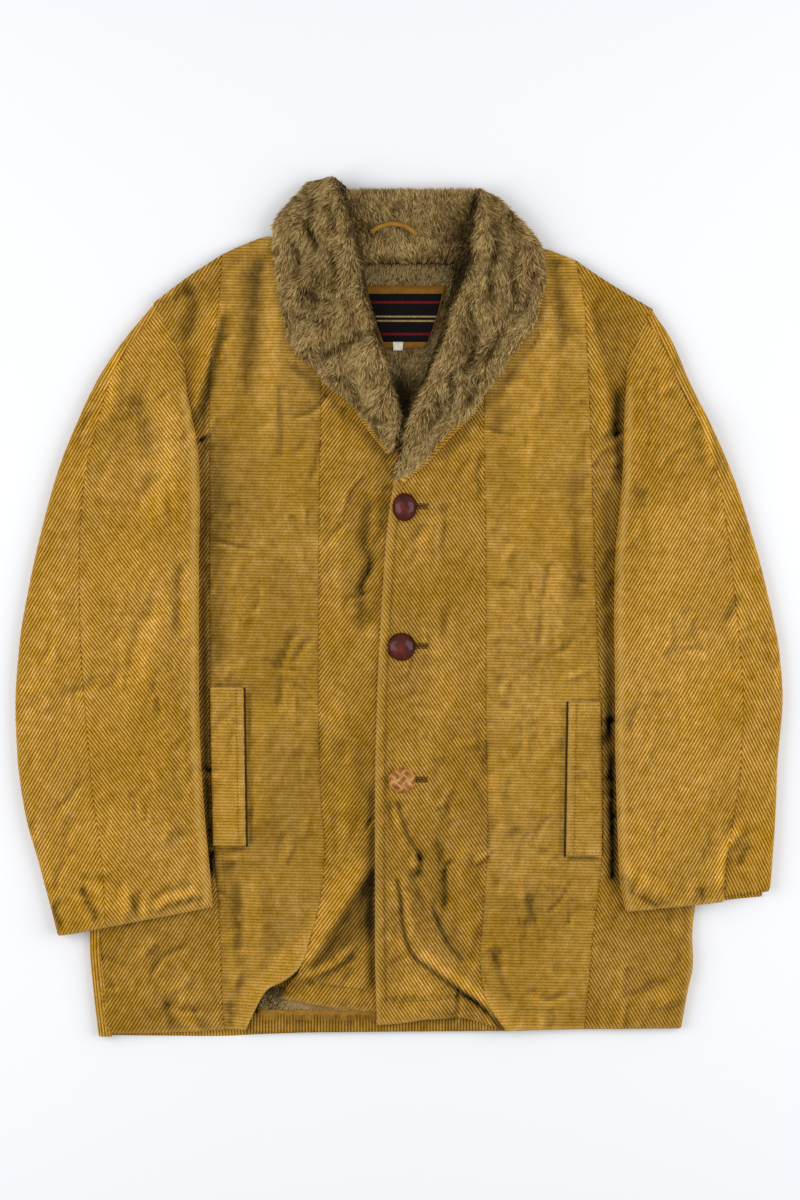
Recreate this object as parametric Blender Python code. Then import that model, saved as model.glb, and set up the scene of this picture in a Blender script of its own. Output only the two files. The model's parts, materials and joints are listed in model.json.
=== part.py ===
"""Pile-lined car coat in wide-wale corduroy, buttoned and lying on its back on a flat surface.

Plan sizes are in millimetres: x to the right as one looks down on the front of the coat, y from
the collar towards the hem. Heights are in millimetres above the surface the coat lies on.
Right and left are the wearer's, so the right front is on the small-x side.
"""
import math
from collections import namedtuple

import bmesh
import bpy
import numpy as np

PLAN_MIDDLE_X = 399.0
PLAN_MIDDLE_Y = 608.0

GAP = 0.3
SEAM_DRAW = 0.15
BODY_WALL = 5.0
SLEEVE_WALL = 5.5
UNDER_COLLAR_WALL = 2.5
COLLAR_EDGE_WALL = 4.0
COLLAR_MIDDLE_WALL = 7.0
COLLAR_BACK_WALL = 6.0
COLLAR_BACK_HOLLOW = 1.5
WELT_WALL = 2.4
STRIP_WALL = 1.0
LABEL_WALL = 0.7
LOOP_WALL = 2.0
LOOP_WIDTH = 4.0

BACK_TOP = BODY_WALL
FRONT_UNDER = BACK_TOP + GAP
FRONT_TOP = FRONT_UNDER + BODY_WALL
LAP_RISE = BODY_WALL + GAP
LAP_FULL_X = 432.0
LAP_END_X = 456.0
LAP_START_Y = 420.0
LAP_FULL_Y = 440.0
TURN_START_Y = 480.0
TURN_STEPS = 6
SLEEVE_SLOPE = 40.0
SLEEVE_UNDER_SEAM = 0.25
FOLD_CLEAR = 8.0
FOLD_FULL = 28.0

FRONT_ROWS = 22
SLEEVE_ROWS = 24
BUTTON_RADIUS = 14.0
BUTTON_HEIGHT = 9.0
SHANK_RADIUS = 1.2
SLOT_HALF = 1.6
SLOT_END_X = 428.0

Fold = namedtuple("Fold", "name path start end width")
SleeveRow = namedtuple("SleeveRow", "inner_x inner_y outer_x outer_y seam lie lift half")
CollarRow = namedtuple(
    "CollarRow", "edge_x edge_y roll_x roll_y neck_x neck_y edge_z roll_z neck_z")
Button = namedtuple("Button", "name x y depth_share")

# Edges of the laid-out body: armhole first, then the side down to the hem
RIGHT_EDGE = [(157, 301), (171.5, 331), (186.5, 363), (190, 392), (178, 420), (150, 436), (120, 447),
              (106, 470), (101, 560), (96, 700), (92, 850), (89, 945), (92, 985), (98, 1037)]
LEFT_EDGE = [(649, 307), (637.5, 334), (626, 361), (621, 390), (631, 416), (655, 434), (680, 446),
             (692, 470), (694, 560), (694, 700), (694, 850), (695, 905), (692, 935), (693, 965),
             (688, 990), (681, 1029)]
# How far the back turns over onto the front, down its right edge
RIGHT_TURN = [(0.0, 0.6), (0.3, 0.6), (0.75, 4.0), (1.0, 8.5)]

# Long seams of the two fronts, shoulder to hem
RIGHT_SIDE_SEAM = [(222, 254), (217, 318), (212, 352), (209, 390), (209, 548), (209.5, 687),
                   (212.5, 846), (218, 905), (221, 960), (222, 1000), (224, 1030)]
RIGHT_CENTRE_SEAM = [(331, 237), (324, 300), (321, 382), (319, 548), (318.5, 700), (321, 800),
                     (325, 850), (321, 895), (312, 935), (303, 963), (284, 981), (268, 989),
                     (256, 1008), (246, 1030)]
RIGHT_CENTRE_OUTER = [(332, 238), (325, 300), (322, 382), (320, 548), (320, 700), (323, 800),
                      (327, 850), (323.5, 895), (315, 935), (307, 965), (297, 980), (286, 989),
                      (280, 999)]
RIGHT_FRONT_EDGE = [(352, 262), (363, 300), (374, 340), (388, 385), (395, 425), (401, 456),
                    (412, 482), (422, 512), (428, 560), (428, 700), (428, 860), (426, 960),
                    (421, 1008)]
LEFT_FRONT_EDGE = [(474, 262), (462, 300), (448, 340), (432, 372), (416, 405), (407, 432),
                   (401, 458), (394, 482), (387, 530), (382, 600), (377, 700), (375, 800),
                   (375, 860), (375, 950), (377, 1025)]
LEFT_CENTRE_SEAM = [(486, 237), (485, 320), (484, 414), (486, 560), (486, 700), (488, 840),
                    (484, 900), (480, 961), (482, 985), (491, 1010), (506, 1031)]
LEFT_SIDE_SEAM = [(576, 260), (584, 300), (589, 379), (594, 532), (600, 690), (603, 780),
                  (602, 857), (597, 905), (592, 945), (590, 975), (587, 1005), (585, 1030)]

BACK_NECK = [(187, 276.5), (222, 254.5), (272, 235), (335, 240), (354, 264), (413, 267),
             (472, 264), (488, 240), (541, 247), (576, 261), (623, 291)]
BACK_HEM = [(210, 1038), (260, 1036), (335, 1033.5), (385, 1032.5), (435, 1032.5), (510, 1033),
            (560, 1031)]
LEFT_CENTRE_HEM = [(400, 1023), (428, 1019), (456, 1018), (480, 1023)]
RIGHT_CENTRE_HEM = [(300, 1003), (345, 1010), (372, 1013)]

SLEEVE_RIGHT = [
    SleeveRow(185, 364.5, 154.5, 302.5, 0.88, 0, 0.0, 5.7),
    SleeveRow(187, 391, 122, 342, 0.90, 20, 10.6, 6.0),
    SleeveRow(193, 422, 98, 378, 0.88, 34, 10.6, 6.5),
    SleeveRow(199, 462, 77, 422, 0.836, 82, 10.6, 6.8),
    SleeveRow(200, 510, 58, 470, 0.803, 103, 10.6, 6.8),
    SleeveRow(199, 560, 43, 523, 0.756, 103, 10.6, 6.8),
    SleeveRow(199, 620, 29, 585, 0.697, 105, 10.6, 6.8),
    SleeveRow(200, 680, 19, 645, 0.646, 108, 10.6, 6.8),
    SleeveRow(202, 735, 15, 705, 0.610, 111, 10.6, 6.8),
    SleeveRow(205, 785, 17, 757, 0.596, 115, 10.6, 6.8),
    SleeveRow(208, 830, 25, 815, 0.596, 119, 10.6, 6.8),
    SleeveRow(211, 870, 38, 862, 0.618, 123, 10.6, 6.8),
    SleeveRow(213, 906, 58, 936, 0.684, 130, 10.6, 6.8),
]
SLEEVE_LEFT = [
    SleeveRow(627.4, 362.2, 651, 308, 0.80, 0, 0.0, 5.7),
    SleeveRow(625.5, 388, 672, 340, 0.84, 16, 10.6, 6.0),
    SleeveRow(624, 420, 689, 380, 0.86, 30, 10.6, 6.5),
    SleeveRow(623, 462, 710, 423, 0.88, 70, 10.6, 6.8),
    SleeveRow(620, 505, 731, 470, 0.87, 80, 10.6, 6.8),
    SleeveRow(615, 560, 750, 527, 0.83, 85, 10.6, 6.8),
    SleeveRow(614, 620, 767, 590, 0.79, 85, 10.6, 6.8),
    SleeveRow(614, 680, 780, 655, 0.764, 85, 10.6, 6.8),
    SleeveRow(613, 735, 783, 700, 0.763, 86, 10.6, 6.8),
    SleeveRow(614, 785, 778, 762, 0.768, 85, 10.6, 6.8),
    SleeveRow(616, 830, 776, 812, 0.730, 83, 10.6, 6.8),
    SleeveRow(619, 872, 773, 858, 0.695, 80, 10.6, 6.8),
    SleeveRow(625, 911, 770, 897, 0.676, 76, 10.6, 6.8),
]

COLLAR_RIGHT = [
    CollarRow(311, 180, 334, 178, 344, 187, 6.0, 17.0, 11.5),
    CollarRow(290, 200, 341, 200, 352, 204, 9.0, 23.0, 11.5),
    CollarRow(272, 226, 347, 225, 360.5, 226, 10.9, 25.0, 11.5),
    CollarRow(273, 252, 356, 254, 373.5, 254, 10.9, 25.0, 11.5),
    CollarRow(277, 280, 363, 280, 377, 282, 10.9, 24.0, 13.2),
    CollarRow(281, 312, 369, 311, 377, 313, 10.9, 22.0, 13.2),
    CollarRow(289, 340, 379, 339, 385, 341, 10.9, 19.0, 13.2),
    CollarRow(303, 361, 386, 361, 391, 363, 10.9, 18.0, 12.5),
    CollarRow(324, 380, 392, 382, 396, 385, 10.9, 17.0, 12.0),
    CollarRow(346, 400, 397, 402, 400.5, 405, 10.9, 15.0, 11.5),
    CollarRow(366, 421, 401, 420, 403, 421, 10.9, 13.5, 11.3),
    CollarRow(381, 439, 399, 436, 400.2, 436.5, 10.9, 12.5, 11.2),
    CollarRow(395, 453, 397, 451, 397.6, 450.5, 10.9, 11.6, 11.2),
]
COLLAR_LEFT = [
    CollarRow(497, 193, 479, 187, 472.5, 190, 6.0, 17.0, 11.5),
    CollarRow(505, 202, 479, 202, 465.5, 204, 9.0, 22.0, 11.5),
    CollarRow(527, 225, 479, 226, 457, 228, 10.9, 25.0, 11.5),
    CollarRow(543, 247, 476, 248, 446.5, 253, 10.9, 26.0, 11.5),
    CollarRow(547, 279, 466, 279, 441, 281, 10.9, 25.0, 13.2),
    CollarRow(543, 302, 458, 301, 443.5, 301, 10.9, 23.0, 13.2),
    CollarRow(537, 324, 450, 325, 440, 325, 10.9, 21.0, 13.2),
    CollarRow(516, 354, 438, 355, 430, 354, 10.9, 19.0, 12.5),
    CollarRow(495, 381, 427, 381, 421, 380, 10.9, 18.0, 12.0),
    CollarRow(483, 400, 418, 400, 413, 399, 10.9, 17.0, 12.0),
    CollarRow(470, 417, 410.5, 418, 406.5, 416, 11.2, 17.0, 12.5),
    CollarRow(454, 430, 405.5, 431, 403.5, 430, 16.3, 18.5, 16.4),
    CollarRow(436, 450, 401, 449, 399.6, 449, 16.3, 18.5, 16.4),
    CollarRow(418, 469, 397.5, 466, 396.2, 465, 16.3, 18.0, 16.4),
    CollarRow(397, 480, 395, 478, 394.3, 477.5, 16.3, 16.8, 16.4),
]
COLLAR_BACK_RIGHT = [(346, 190), (381, 262)]
COLLAR_BACK_LEFT = [(471, 190), (439, 262)]
COLLAR_BACK_SEAM_Z = 12.5
COLLAR_FALL_END_Y = 252.0

NECK_LINING_RIGHT = [(356, 265), (366, 300), (377, 340), (391, 385), (400.5, 418)]
NECK_LINING_LEFT = [(470, 265), (458.5, 300), (444.5, 340), (428.5, 372), (409.5, 410)]

# Largest folds of the fronts, each a ridge along a line with the height at its two ends
FRONT_FOLDS = [
    Fold("swing of the right front", [(368, 866), (340, 905), (305, 958), (282, 976), (262, 1000),
                                      (250, 1030)], 3, 11, 17),
    Fold("swing of the left front", [(398, 884), (412, 944), (450, 980), (472, 996), (500, 1026)],
         4, 8, 16),
    Fold("hem arch", [(410, 1010), (450, 1006), (492, 1020)], 5, 6, 26),
    Fold("right armhole", [(214, 318), (210, 350), (203, 384)], 6, 8, 12),
    Fold("left armhole", [(580, 296), (598, 350), (606, 396), (608, 440)], 3, 6, 14),
    Fold("right chest", [(268, 360), (266, 470), (262, 600)], 3, 1, 26),
    Fold("left chest", [(552, 360), (560, 480), (556, 640)], 3, 1, 24),
    Fold("left button stand", [(432, 520), (446, 640), (452, 760), (440, 860)], 1, 3, 22),
]
SLEEVE_RIGHT_FOLDS = [
    Fold("sleeve head", [(121, 352), (114, 392), (98, 440)], 3, 1, 16),
    Fold("front of arm", [(178, 400), (172, 470), (150, 540)], 3, 2, 20),
    Fold("elbow", [(178, 580), (150, 660), (120, 740)], 2, 3, 22),
    Fold("cuff", [(120, 860), (118, 925)], 2, 4, 18),
]
SLEEVE_LEFT_FOLDS = [
    Fold("sleeve head", [(690, 380), (705, 440), (724, 500)], 2, 3, 16),
    Fold("front of arm", [(632, 420), (650, 500), (690, 560)], 3, 2, 20),
    Fold("elbow", [(640, 600), (680, 690), (720, 760)], 2, 3, 22),
    Fold("cuff", [(720, 830), (700, 900)], 2, 4, 18),
]

WELT_RIGHT = ([(210.2, 687), (213, 846)], [(243.5, 687), (246, 846)])
WELT_LEFT = ([(568.5, 702), (566, 856)], [(599.5, 702), (601.5, 856)])
BUTTONS = [
    Button("button_1", 404.4, 507.3, 1.0),
    Button("button_2", 401.6, 646.7, 1.0),
    Button("button_3", 402.1, 780.0, 0.9),
]
HANGER_PATH = [(372, 232), (381, 227), (392, 224.5), (404, 226.5), (416, 235)]


def ease(start, end, value):
    """Soft step from 0 at start to 1 at end"""
    share = min(1.0, max(0.0, (value - start) / (end - start)))
    return share * share * (3.0 - 2.0 * share)


def steady_slopes(marks, values):
    """Slopes at the marks that never let the line swing past its values"""
    steps = np.diff(values, axis=0) / np.diff(marks)[:, None]
    slopes = np.zeros_like(values)
    slopes[0] = steps[0]
    slopes[-1] = steps[-1]
    before, after = steps[:-1], steps[1:]
    level = before * after <= 0.0
    total = np.where(level, 1.0, before + after)
    slopes[1:-1] = np.where(level, 0.0, 2.0 * before * after / total)
    return slopes


def hermite(marks, values, mark):
    """Value at a mark on the smooth line through all values"""
    index = int(np.clip(np.searchsorted(marks, mark, side="right") - 1, 0, len(marks) - 2))
    width = marks[index + 1] - marks[index]
    share = (mark - marks[index]) / width
    slopes = steady_slopes(marks, values)
    square, cube = share ** 2, share ** 3
    return ((2 * cube - 3 * square + 1) * values[index]
            + (cube - 2 * square + share) * width * slopes[index]
            + (3 * square - 2 * cube) * values[index + 1]
            + (cube - square) * width * slopes[index + 1])


def along(line, share):
    """Plan point at a share of the length of the smooth line through the given points"""
    values = np.array(line, dtype=float)
    steps = np.linalg.norm(np.diff(values, axis=0), axis=1)
    marks = np.concatenate([[0.0], np.cumsum(steps)])
    return hermite(marks, values, share * marks[-1])


def section(rows, share):
    """The section at a share of the way down a table of sections"""
    values = np.array(rows, dtype=float)
    return type(rows[0])(*hermite(np.arange(len(rows), dtype=float), values,
                                  share * (len(rows) - 1)))


def patch(left, right, top=(), bottom=()):
    """Plan of a cut piece between a left and a right edge; top and bottom join their ends"""
    above = [left[0], *top, right[0]]
    below = [left[-1], *bottom, right[-1]]
    first, second = np.array(left[0], float), np.array(right[0], float)
    third, fourth = np.array(left[-1], float), np.array(right[-1], float)

    def place(u, v):
        across = (1 - u) * along(left, v) + u * along(right, v)
        down = (1 - v) * along(above, u) + v * along(below, u)
        corners = ((1 - u) * ((1 - v) * first + v * third)
                   + u * ((1 - v) * second + v * fourth))
        point = across + down - corners
        point[0] += SEAM_DRAW * (1 - 2 * u)
        return point

    return place


def off_line(point, line):
    """Distance from a line of plan points, and the share along it of the nearest place"""
    ends = np.array(line, dtype=float)
    starts, spans = ends[:-1], np.diff(ends, axis=0)
    lengths = np.linalg.norm(spans, axis=1)
    shares = np.clip(((point - starts) * spans).sum(axis=1) / lengths ** 2, 0.0, 1.0)
    distances = np.linalg.norm(starts + shares[:, None] * spans - point, axis=1)
    nearest = int(np.argmin(distances))
    reached = lengths[:nearest].sum() + shares[nearest] * lengths[nearest]
    return distances[nearest], reached / lengths.sum()


def clearance(point, outline):
    """Distance of a plan point outside a closed outline, 0 for a point within it"""
    closed = np.array([*outline, outline[0]], dtype=float)
    starts, ends = closed[:-1], closed[1:]
    crossing = (starts[:, 1] > point[1]) != (ends[:, 1] > point[1])
    rise = np.where(crossing, ends[:, 1] - starts[:, 1], 1.0)
    where = starts[:, 0] + (point[1] - starts[:, 1]) * (ends[:, 0] - starts[:, 0]) / rise
    if np.count_nonzero(crossing & (where > point[0])) % 2:
        return 0.0
    return off_line(point, closed)[0]


def ridge_height(point, folds):
    """Height that the folds add at a plan point"""
    height = 0.0
    for fold in folds:
        distance, share = off_line(point, fold.path)
        peak = fold.start + (fold.end - fold.start) * share
        height += peak * math.exp(-(distance / fold.width) ** 2)
    return height


def sleeve_outline(rows):
    return [(row.inner_x, row.inner_y) for row in rows] + [
        (row.outer_x, row.outer_y) for row in reversed(rows)]


def collar_outline(rows):
    return [(row.edge_x, row.edge_y) for row in rows] + [
        (row.neck_x, row.neck_y) for row in reversed(rows)]


def welt_outline(edges):
    return [*edges[0], *reversed(edges[1])]


def button_outline(button):
    turns = [math.tau * step / 12 for step in range(12)]
    return [(button.x + BUTTON_RADIUS * math.cos(turn), button.y + BUTTON_RADIUS * math.sin(turn))
            for turn in turns]


COVERS = ([sleeve_outline(rows) for rows in (SLEEVE_RIGHT, SLEEVE_LEFT)]
          + [collar_outline(rows) for rows in (COLLAR_RIGHT, COLLAR_LEFT)]
          + [welt_outline(edges) for edges in (WELT_RIGHT, WELT_LEFT)])
LAP_COVERS = [button_outline(button) for button in BUTTONS]
LAPPED = [*LEFT_FRONT_EDGE[6:], (432, 1025), (432, 482)]


def front_under(point, covers, rise):
    """Height of the underside of a front, flat wherever another piece lies on it"""
    height = ridge_height(point, FRONT_FOLDS)
    for outline in covers:
        height *= ease(FOLD_CLEAR, FOLD_FULL, clearance(point, outline))
    return FRONT_UNDER + rise + height


def lap_rise(point):
    """How far the left front is lifted by the right front under it"""
    return (LAP_RISE * (1 - ease(LAP_FULL_X, LAP_END_X, point[0]))
            * ease(LAP_START_Y, LAP_FULL_Y, point[1]))


def right_under(point):
    return front_under(point, COVERS + [LAPPED], 0.0)


def left_under(point):
    return front_under(point, COVERS + LAP_COVERS, lap_rise(point))


def metres(x, y, z):
    return (0.001 * (x - PLAN_MIDDLE_X), 0.001 * (PLAN_MIDDLE_Y - y), 0.001 * z)


def linear(value):
    share = value / 255.0
    return share / 12.92 if share <= 0.04045 else ((share + 0.055) / 1.055) ** 2.4


def make_material(name, red, green, blue, roughness):
    """Plain surface of a cloth or leather, from its colour as seen"""
    material = bpy.data.materials.new(name)
    material.use_nodes = True
    shader = material.node_tree.nodes["Principled BSDF"]
    shader.inputs["Base Color"].default_value = (linear(red), linear(green), linear(blue), 1.0)
    shader.inputs["Roughness"].default_value = roughness
    shader.inputs["Metallic"].default_value = 0.0
    return material


def finish(name, mesh, look, collection):
    """Turn a closed working mesh into a named piece of the coat"""
    bmesh.ops.recalc_face_normals(mesh, faces=mesh.faces[:])
    if mesh.calc_volume(signed=True) < 0.0:
        bmesh.ops.reverse_faces(mesh, faces=mesh.faces[:])
    data = bpy.data.meshes.new(name)
    mesh.to_mesh(data)
    mesh.free()
    data.materials.append(make_material(name, *look))
    piece = bpy.data.objects.new(name, data)
    collection.objects.link(piece)
    return piece


def wall_mesh(columns, rows, inside, outside):
    """A closed wall: a grid on its inner face, drawn out to its outer face"""
    mesh = bmesh.new()
    mark = mesh.verts.layers.float_vector.new("place")
    bmesh.ops.create_grid(mesh, x_segments=columns, y_segments=rows, size=0.5)
    for vertex in mesh.verts:
        vertex[mark] = (vertex.co.x + 0.5, vertex.co.y + 0.5, 0.0)
    drawn = bmesh.ops.extrude_face_region(mesh, geom=mesh.faces[:])
    outer = [item for item in drawn["geom"] if isinstance(item, bmesh.types.BMVert)]
    for vertex in mesh.verts:
        vertex.co = metres(*inside(vertex[mark].x, vertex[mark].y))
    for vertex in outer:
        vertex.co = metres(*outside(vertex[mark].x, vertex[mark].y))
        vertex[mark].z = 1.0
    return mesh


def cloth_wall(name, look, columns, rows, inside, outside):
    """A cut piece of cloth as a closed wall"""
    return finish(name, wall_mesh(columns, rows, inside, outside), look, coat)


def flat_wall(name, look, columns, rows, place, under, wall):
    """A wall that follows the height of what it lies on"""
    def inside(u, v):
        point = place(u, v)
        return (*point, under(point))

    def outside(u, v):
        point = place(u, v)
        return (*point, under(point) + wall)

    return cloth_wall(name, look, columns, rows, inside, outside)


def turn_width(share):
    """Width of the back's turned edge at a share of the way down its right edge"""
    marks = np.array([turn[0] for turn in RIGHT_TURN])
    widths = np.array([turn[1:] for turn in RIGHT_TURN], dtype=float)
    return hermite(marks, widths, share)[0]


def turned_back(name, look):
    """The back: flat on the surface, its right side turned up and over onto the front"""
    plan = patch(RIGHT_EDGE, LEFT_EDGE, BACK_NECK, BACK_HEM)
    centre = BACK_TOP + GAP / 2

    def flat(u, v, height):
        point = plan(u, v)
        turned = centre * (1 - u) if along(RIGHT_EDGE, v)[1] > TURN_START_Y else 0.0
        return (point[0] + turned, point[1], height)

    mesh = wall_mesh(8, 24, lambda u, v: flat(u, v, BODY_WALL), lambda u, v: flat(u, v, 0.0))
    mark = mesh.verts.layers.float_vector["place"]
    side = [face for face in mesh.faces
            if all(vertex[mark].x < 0.001 for vertex in face.verts)
            and all(along(RIGHT_EDGE, vertex[mark].y)[1] > TURN_START_Y for vertex in face.verts)]
    for step in range(1, TURN_STEPS + 2):
        drawn = bmesh.ops.extrude_face_region(mesh, geom=side)
        bmesh.ops.delete(mesh, geom=side, context="FACES_ONLY")
        side = [item for item in drawn["geom"] if isinstance(item, bmesh.types.BMFace)]
        angle = math.pi * min(step, TURN_STEPS) / TURN_STEPS
        for vertex in {corner for face in side for corner in face.verts}:
            edge = plan(0.0, vertex[mark].y)
            radius = centre if vertex[mark].z else centre - BODY_WALL
            reach = turn_width(vertex[mark].y) if step > TURN_STEPS else 0.0
            vertex.co = metres(edge[0] + centre - radius * math.sin(angle) + reach, edge[1],
                               centre - radius * math.cos(angle))
    return finish(name, mesh, look, coat)


def front_side_edge():
    """Outer edge of the right front, where the turned side of the back ends"""
    edge = []
    for step in range(FRONT_ROWS + 1):
        share = step / FRONT_ROWS
        point = along(RIGHT_EDGE, share)
        turned = BACK_TOP + GAP / 2 + turn_width(share) + 2 * GAP
        reach = turned if point[1] > TURN_START_Y - 40 else 0.0
        edge.append((point[0] + reach, min(point[1], 1036.0)))
    return edge


def ring_point(rows, folds, clock, v, depth):
    """Place on a sleeve's flattened ring.

    The clock runs 0 to 1 over the top from the hind edge to the fore edge, to 2 round the fore
    edge, to 3 back underneath and to 4 round the hind edge. Depth goes in from the outer face.
    """
    row = section(rows, v)
    inner = np.array((row.inner_x, row.inner_y))
    across = np.array((row.outer_x, row.outer_y)) - inner
    width = np.linalg.norm(across)
    half, radius = row.half, row.half - depth
    span = width - 2 * half
    lap, part = int(clock) % 4, clock - int(clock)
    if lap == 0:
        reach, height = width - half - span * part, half + radius
    elif lap == 1:
        reach = half - radius * math.sin(math.pi * part)
        height = half + radius * math.cos(math.pi * part)
    elif lap == 2:
        reach, height = half + span * part, half - radius
    else:
        reach = width - half + radius * math.sin(math.pi * part)
        height = half - radius * math.cos(math.pi * part)
    point = inner + across * reach / width
    lift = row.lift * (1 - ease(row.lie, row.lie + SLEEVE_SLOPE, reach))
    if lap == 0:
        edges = ease(0, 20, reach - half) * ease(0, 20, width - half - reach)
        height += edges * ridge_height(point, folds) * ease(0.0, 0.12, v)
    return (*point, height + lift)


def sleeve_clocks(rows, v, under_piece):
    """Clocks at which a cut piece of a sleeve starts, turns and ends in one section"""
    row = section(rows, v)
    width = math.hypot(row.outer_x - row.inner_x, row.outer_y - row.inner_y)
    span = width - 2 * row.half
    draw = SEAM_DRAW / span
    hind = min(0.94, max(0.06, (width - row.half - row.seam * width) / span))
    under = 2 + SLEEVE_UNDER_SEAM
    if not under_piece:
        return [hind + draw, 1.0, 2.0, under - draw]
    down = min(2.86, max(under + 0.04, 2 + (row.lie - row.half) / span))
    level = min(2.96, max(down + 0.04, 2 + (row.lie + SLEEVE_SLOPE - row.half) / span))
    return [under + draw, down, level, 3.0, 4.0, 4.0 + hind - draw]


def sleeve_piece(name, look, rows, folds, stops, under_piece):
    """One cut piece of a sleeve, running round the ring between the hind and the under seam"""
    last = sum(stops)

    def clock_at(u, v):
        turns = sleeve_clocks(rows, v, under_piece)
        column = round(u * last)
        for count, start, end in zip(stops, turns[:-1], turns[1:]):
            if column <= count:
                return start + (end - start) * column / count
            column -= count
        return turns[-1]

    return cloth_wall(name, look, last, SLEEVE_ROWS,
                      lambda u, v: ring_point(rows, folds, clock_at(u, v), v, SLEEVE_WALL),
                      lambda u, v: ring_point(rows, folds, clock_at(u, v), v, 0.0))


def collar_point(rows, u, v, lower, upper):
    """Place on a collar flap: from its free edge up to the roll and down to the neck seam"""
    row = section(rows, v)
    edge = np.array((row.edge_x, row.edge_y))
    roll = np.array((row.roll_x, row.roll_y))
    neck = np.array((row.neck_x, row.neck_y))
    fall_share = 0.7
    if u <= fall_share:
        share = u / fall_share
        point = edge + (roll - edge) * share
        height = row.edge_z + (row.roll_z - row.edge_z) * ease(0.3, 1.0, share)
    else:
        share = (u - fall_share) / (1 - fall_share)
        point = roll + (neck - roll) * share
        height = row.roll_z + (row.neck_z - row.roll_z) * ease(0.0, 1.0, share)
    plump = math.sin(math.pi * u) ** 0.5 * ease(0.0, 0.1, 1 - v)
    return (*point, height + lower + upper * plump)


def collar_flap(side, rows):
    """Corduroy under collar and pile upper collar of one side"""
    cloth_wall("under_collar_" + side, CORDUROY, 10, 16,
               lambda u, v: collar_point(rows, u, v, 0.0, 0.0),
               lambda u, v: collar_point(rows, u, v, UNDER_COLLAR_WALL, 0.0))
    base = UNDER_COLLAR_WALL + GAP
    cloth_wall("collar_" + side, PILE, 10, 16,
               lambda u, v: collar_point(rows, u, v, base, 0.0),
               lambda u, v: collar_point(rows, u, v, base + COLLAR_EDGE_WALL,
                                         COLLAR_MIDDLE_WALL - COLLAR_EDGE_WALL))


def stand_top(y):
    """Height of the pile face of the collar stand behind the neck"""
    crest = 2 * (COLLAR_BACK_WALL + COLLAR_BACK_HOLLOW)
    crest_y = COLLAR_BACK_LEFT[0][1] + crest / 2
    share = (COLLAR_BACK_LEFT[1][1] - y) / (COLLAR_BACK_LEFT[1][1] - crest_y)
    return COLLAR_BACK_SEAM_Z + (crest - COLLAR_BACK_SEAM_Z) * share


def collar_behind(name, look):
    """Collar behind the neck: the stand faces up and the fall is folded under it"""
    half = COLLAR_BACK_WALL + COLLAR_BACK_HOLLOW
    top_y, seam_y = COLLAR_BACK_LEFT[0][1], COLLAR_BACK_LEFT[1][1]
    crest_y = top_y + half

    def place(u, v, depth):
        column = round(v * 12)
        radius = half - depth
        if column <= 3:
            y = seam_y + (crest_y - seam_y) * column / 3
            z = stand_top(y) - depth
        elif column <= 9:
            angle = math.pi * (column - 3) / 6
            y = crest_y - radius * math.sin(angle)
            z = half + radius * math.cos(angle)
        else:
            y = crest_y + (COLLAR_FALL_END_Y - crest_y) * (column - 9) / 3
            z = depth
        share = (y - top_y) / (seam_y - top_y)
        low = COLLAR_BACK_RIGHT[0][0] + (COLLAR_BACK_RIGHT[1][0] - COLLAR_BACK_RIGHT[0][0]) * share
        high = COLLAR_BACK_LEFT[0][0] + (COLLAR_BACK_LEFT[1][0] - COLLAR_BACK_LEFT[0][0]) * share
        return (low + (high - low) * u, y, z)

    return cloth_wall(name, look, 6, 12,
                      lambda u, v: place(u, v, COLLAR_BACK_WALL),
                      lambda u, v: place(u, v, 0.0))


def turned_button(button, look, base):
    """Domed button with its shank, turned about its upright axis"""
    profile = [(0.0, 0.0), (SHANK_RADIUS, 0.0), (SHANK_RADIUS, LAP_RISE + GAP),
               (0.80 * BUTTON_RADIUS, LAP_RISE + 2 * GAP)]
    for step in range(6):
        angle = 0.5 * math.pi * step / 5
        profile.append((BUTTON_RADIUS * math.cos(angle),
                        LAP_RISE + 2 * GAP + 2.0 + (BUTTON_HEIGHT - 2.0) * math.sin(angle)))
    mesh = bmesh.new()
    points = [mesh.verts.new((0.001 * radius, 0.0, 0.001 * height)) for radius, height in profile]
    spokes = [mesh.edges.new(pair) for pair in zip(points[:-1], points[1:])]
    bmesh.ops.spin(mesh, geom=points + spokes, cent=(0, 0, 0), axis=(0, 0, 1), dvec=(0, 0, 0),
                   angle=math.tau, steps=16, use_merge=True)
    bmesh.ops.remove_doubles(mesh, verts=mesh.verts[:], dist=0.00005)
    middle = metres(button.x, button.y, base)
    for vertex in mesh.verts:
        vertex.co = (vertex.co.x + middle[0], vertex.co.y * button.depth_share + middle[1],
                     vertex.co.z + middle[2])
    return finish(button.name, mesh, look, coat)


def cut_slot(panel, button):
    """Buttonhole slit through the left front, from the shank away from the front edge"""
    low = metres(button.x - SLOT_HALF, button.y + SLOT_HALF, 4.0)
    high = metres(SLOT_END_X, button.y - SLOT_HALF, 30.0)
    mesh = bmesh.new()
    bmesh.ops.create_cube(mesh, size=1.0)
    for vertex in mesh.verts:
        vertex.co = [low[axis] + (vertex.co[axis] + 0.5) * (high[axis] - low[axis])
                     for axis in range(3)]
    cutter = finish("buttonhole_" + button.name, mesh, CORDUROY, cutters)
    cutter.hide_render = True
    cutter.display_type = "WIRE"
    modifier = panel.modifiers.new("buttonhole", "BOOLEAN")
    modifier.operation = "DIFFERENCE"
    modifier.solver = "EXACT"
    modifier.object = cutter


def hanger_loop(name, look):
    """Narrow tape arched over the stand at the back of the neck"""
    def place(u, v, rise):
        point = along(HANGER_PATH, u)
        point[1] += LOOP_WIDTH * (v - 0.5)
        return (*point, stand_top(point[1]) + GAP + rise)

    return cloth_wall(name, look, 12, 1, lambda u, v: place(u, v, 0.0),
                      lambda u, v: place(u, v, LOOP_WALL))


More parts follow.
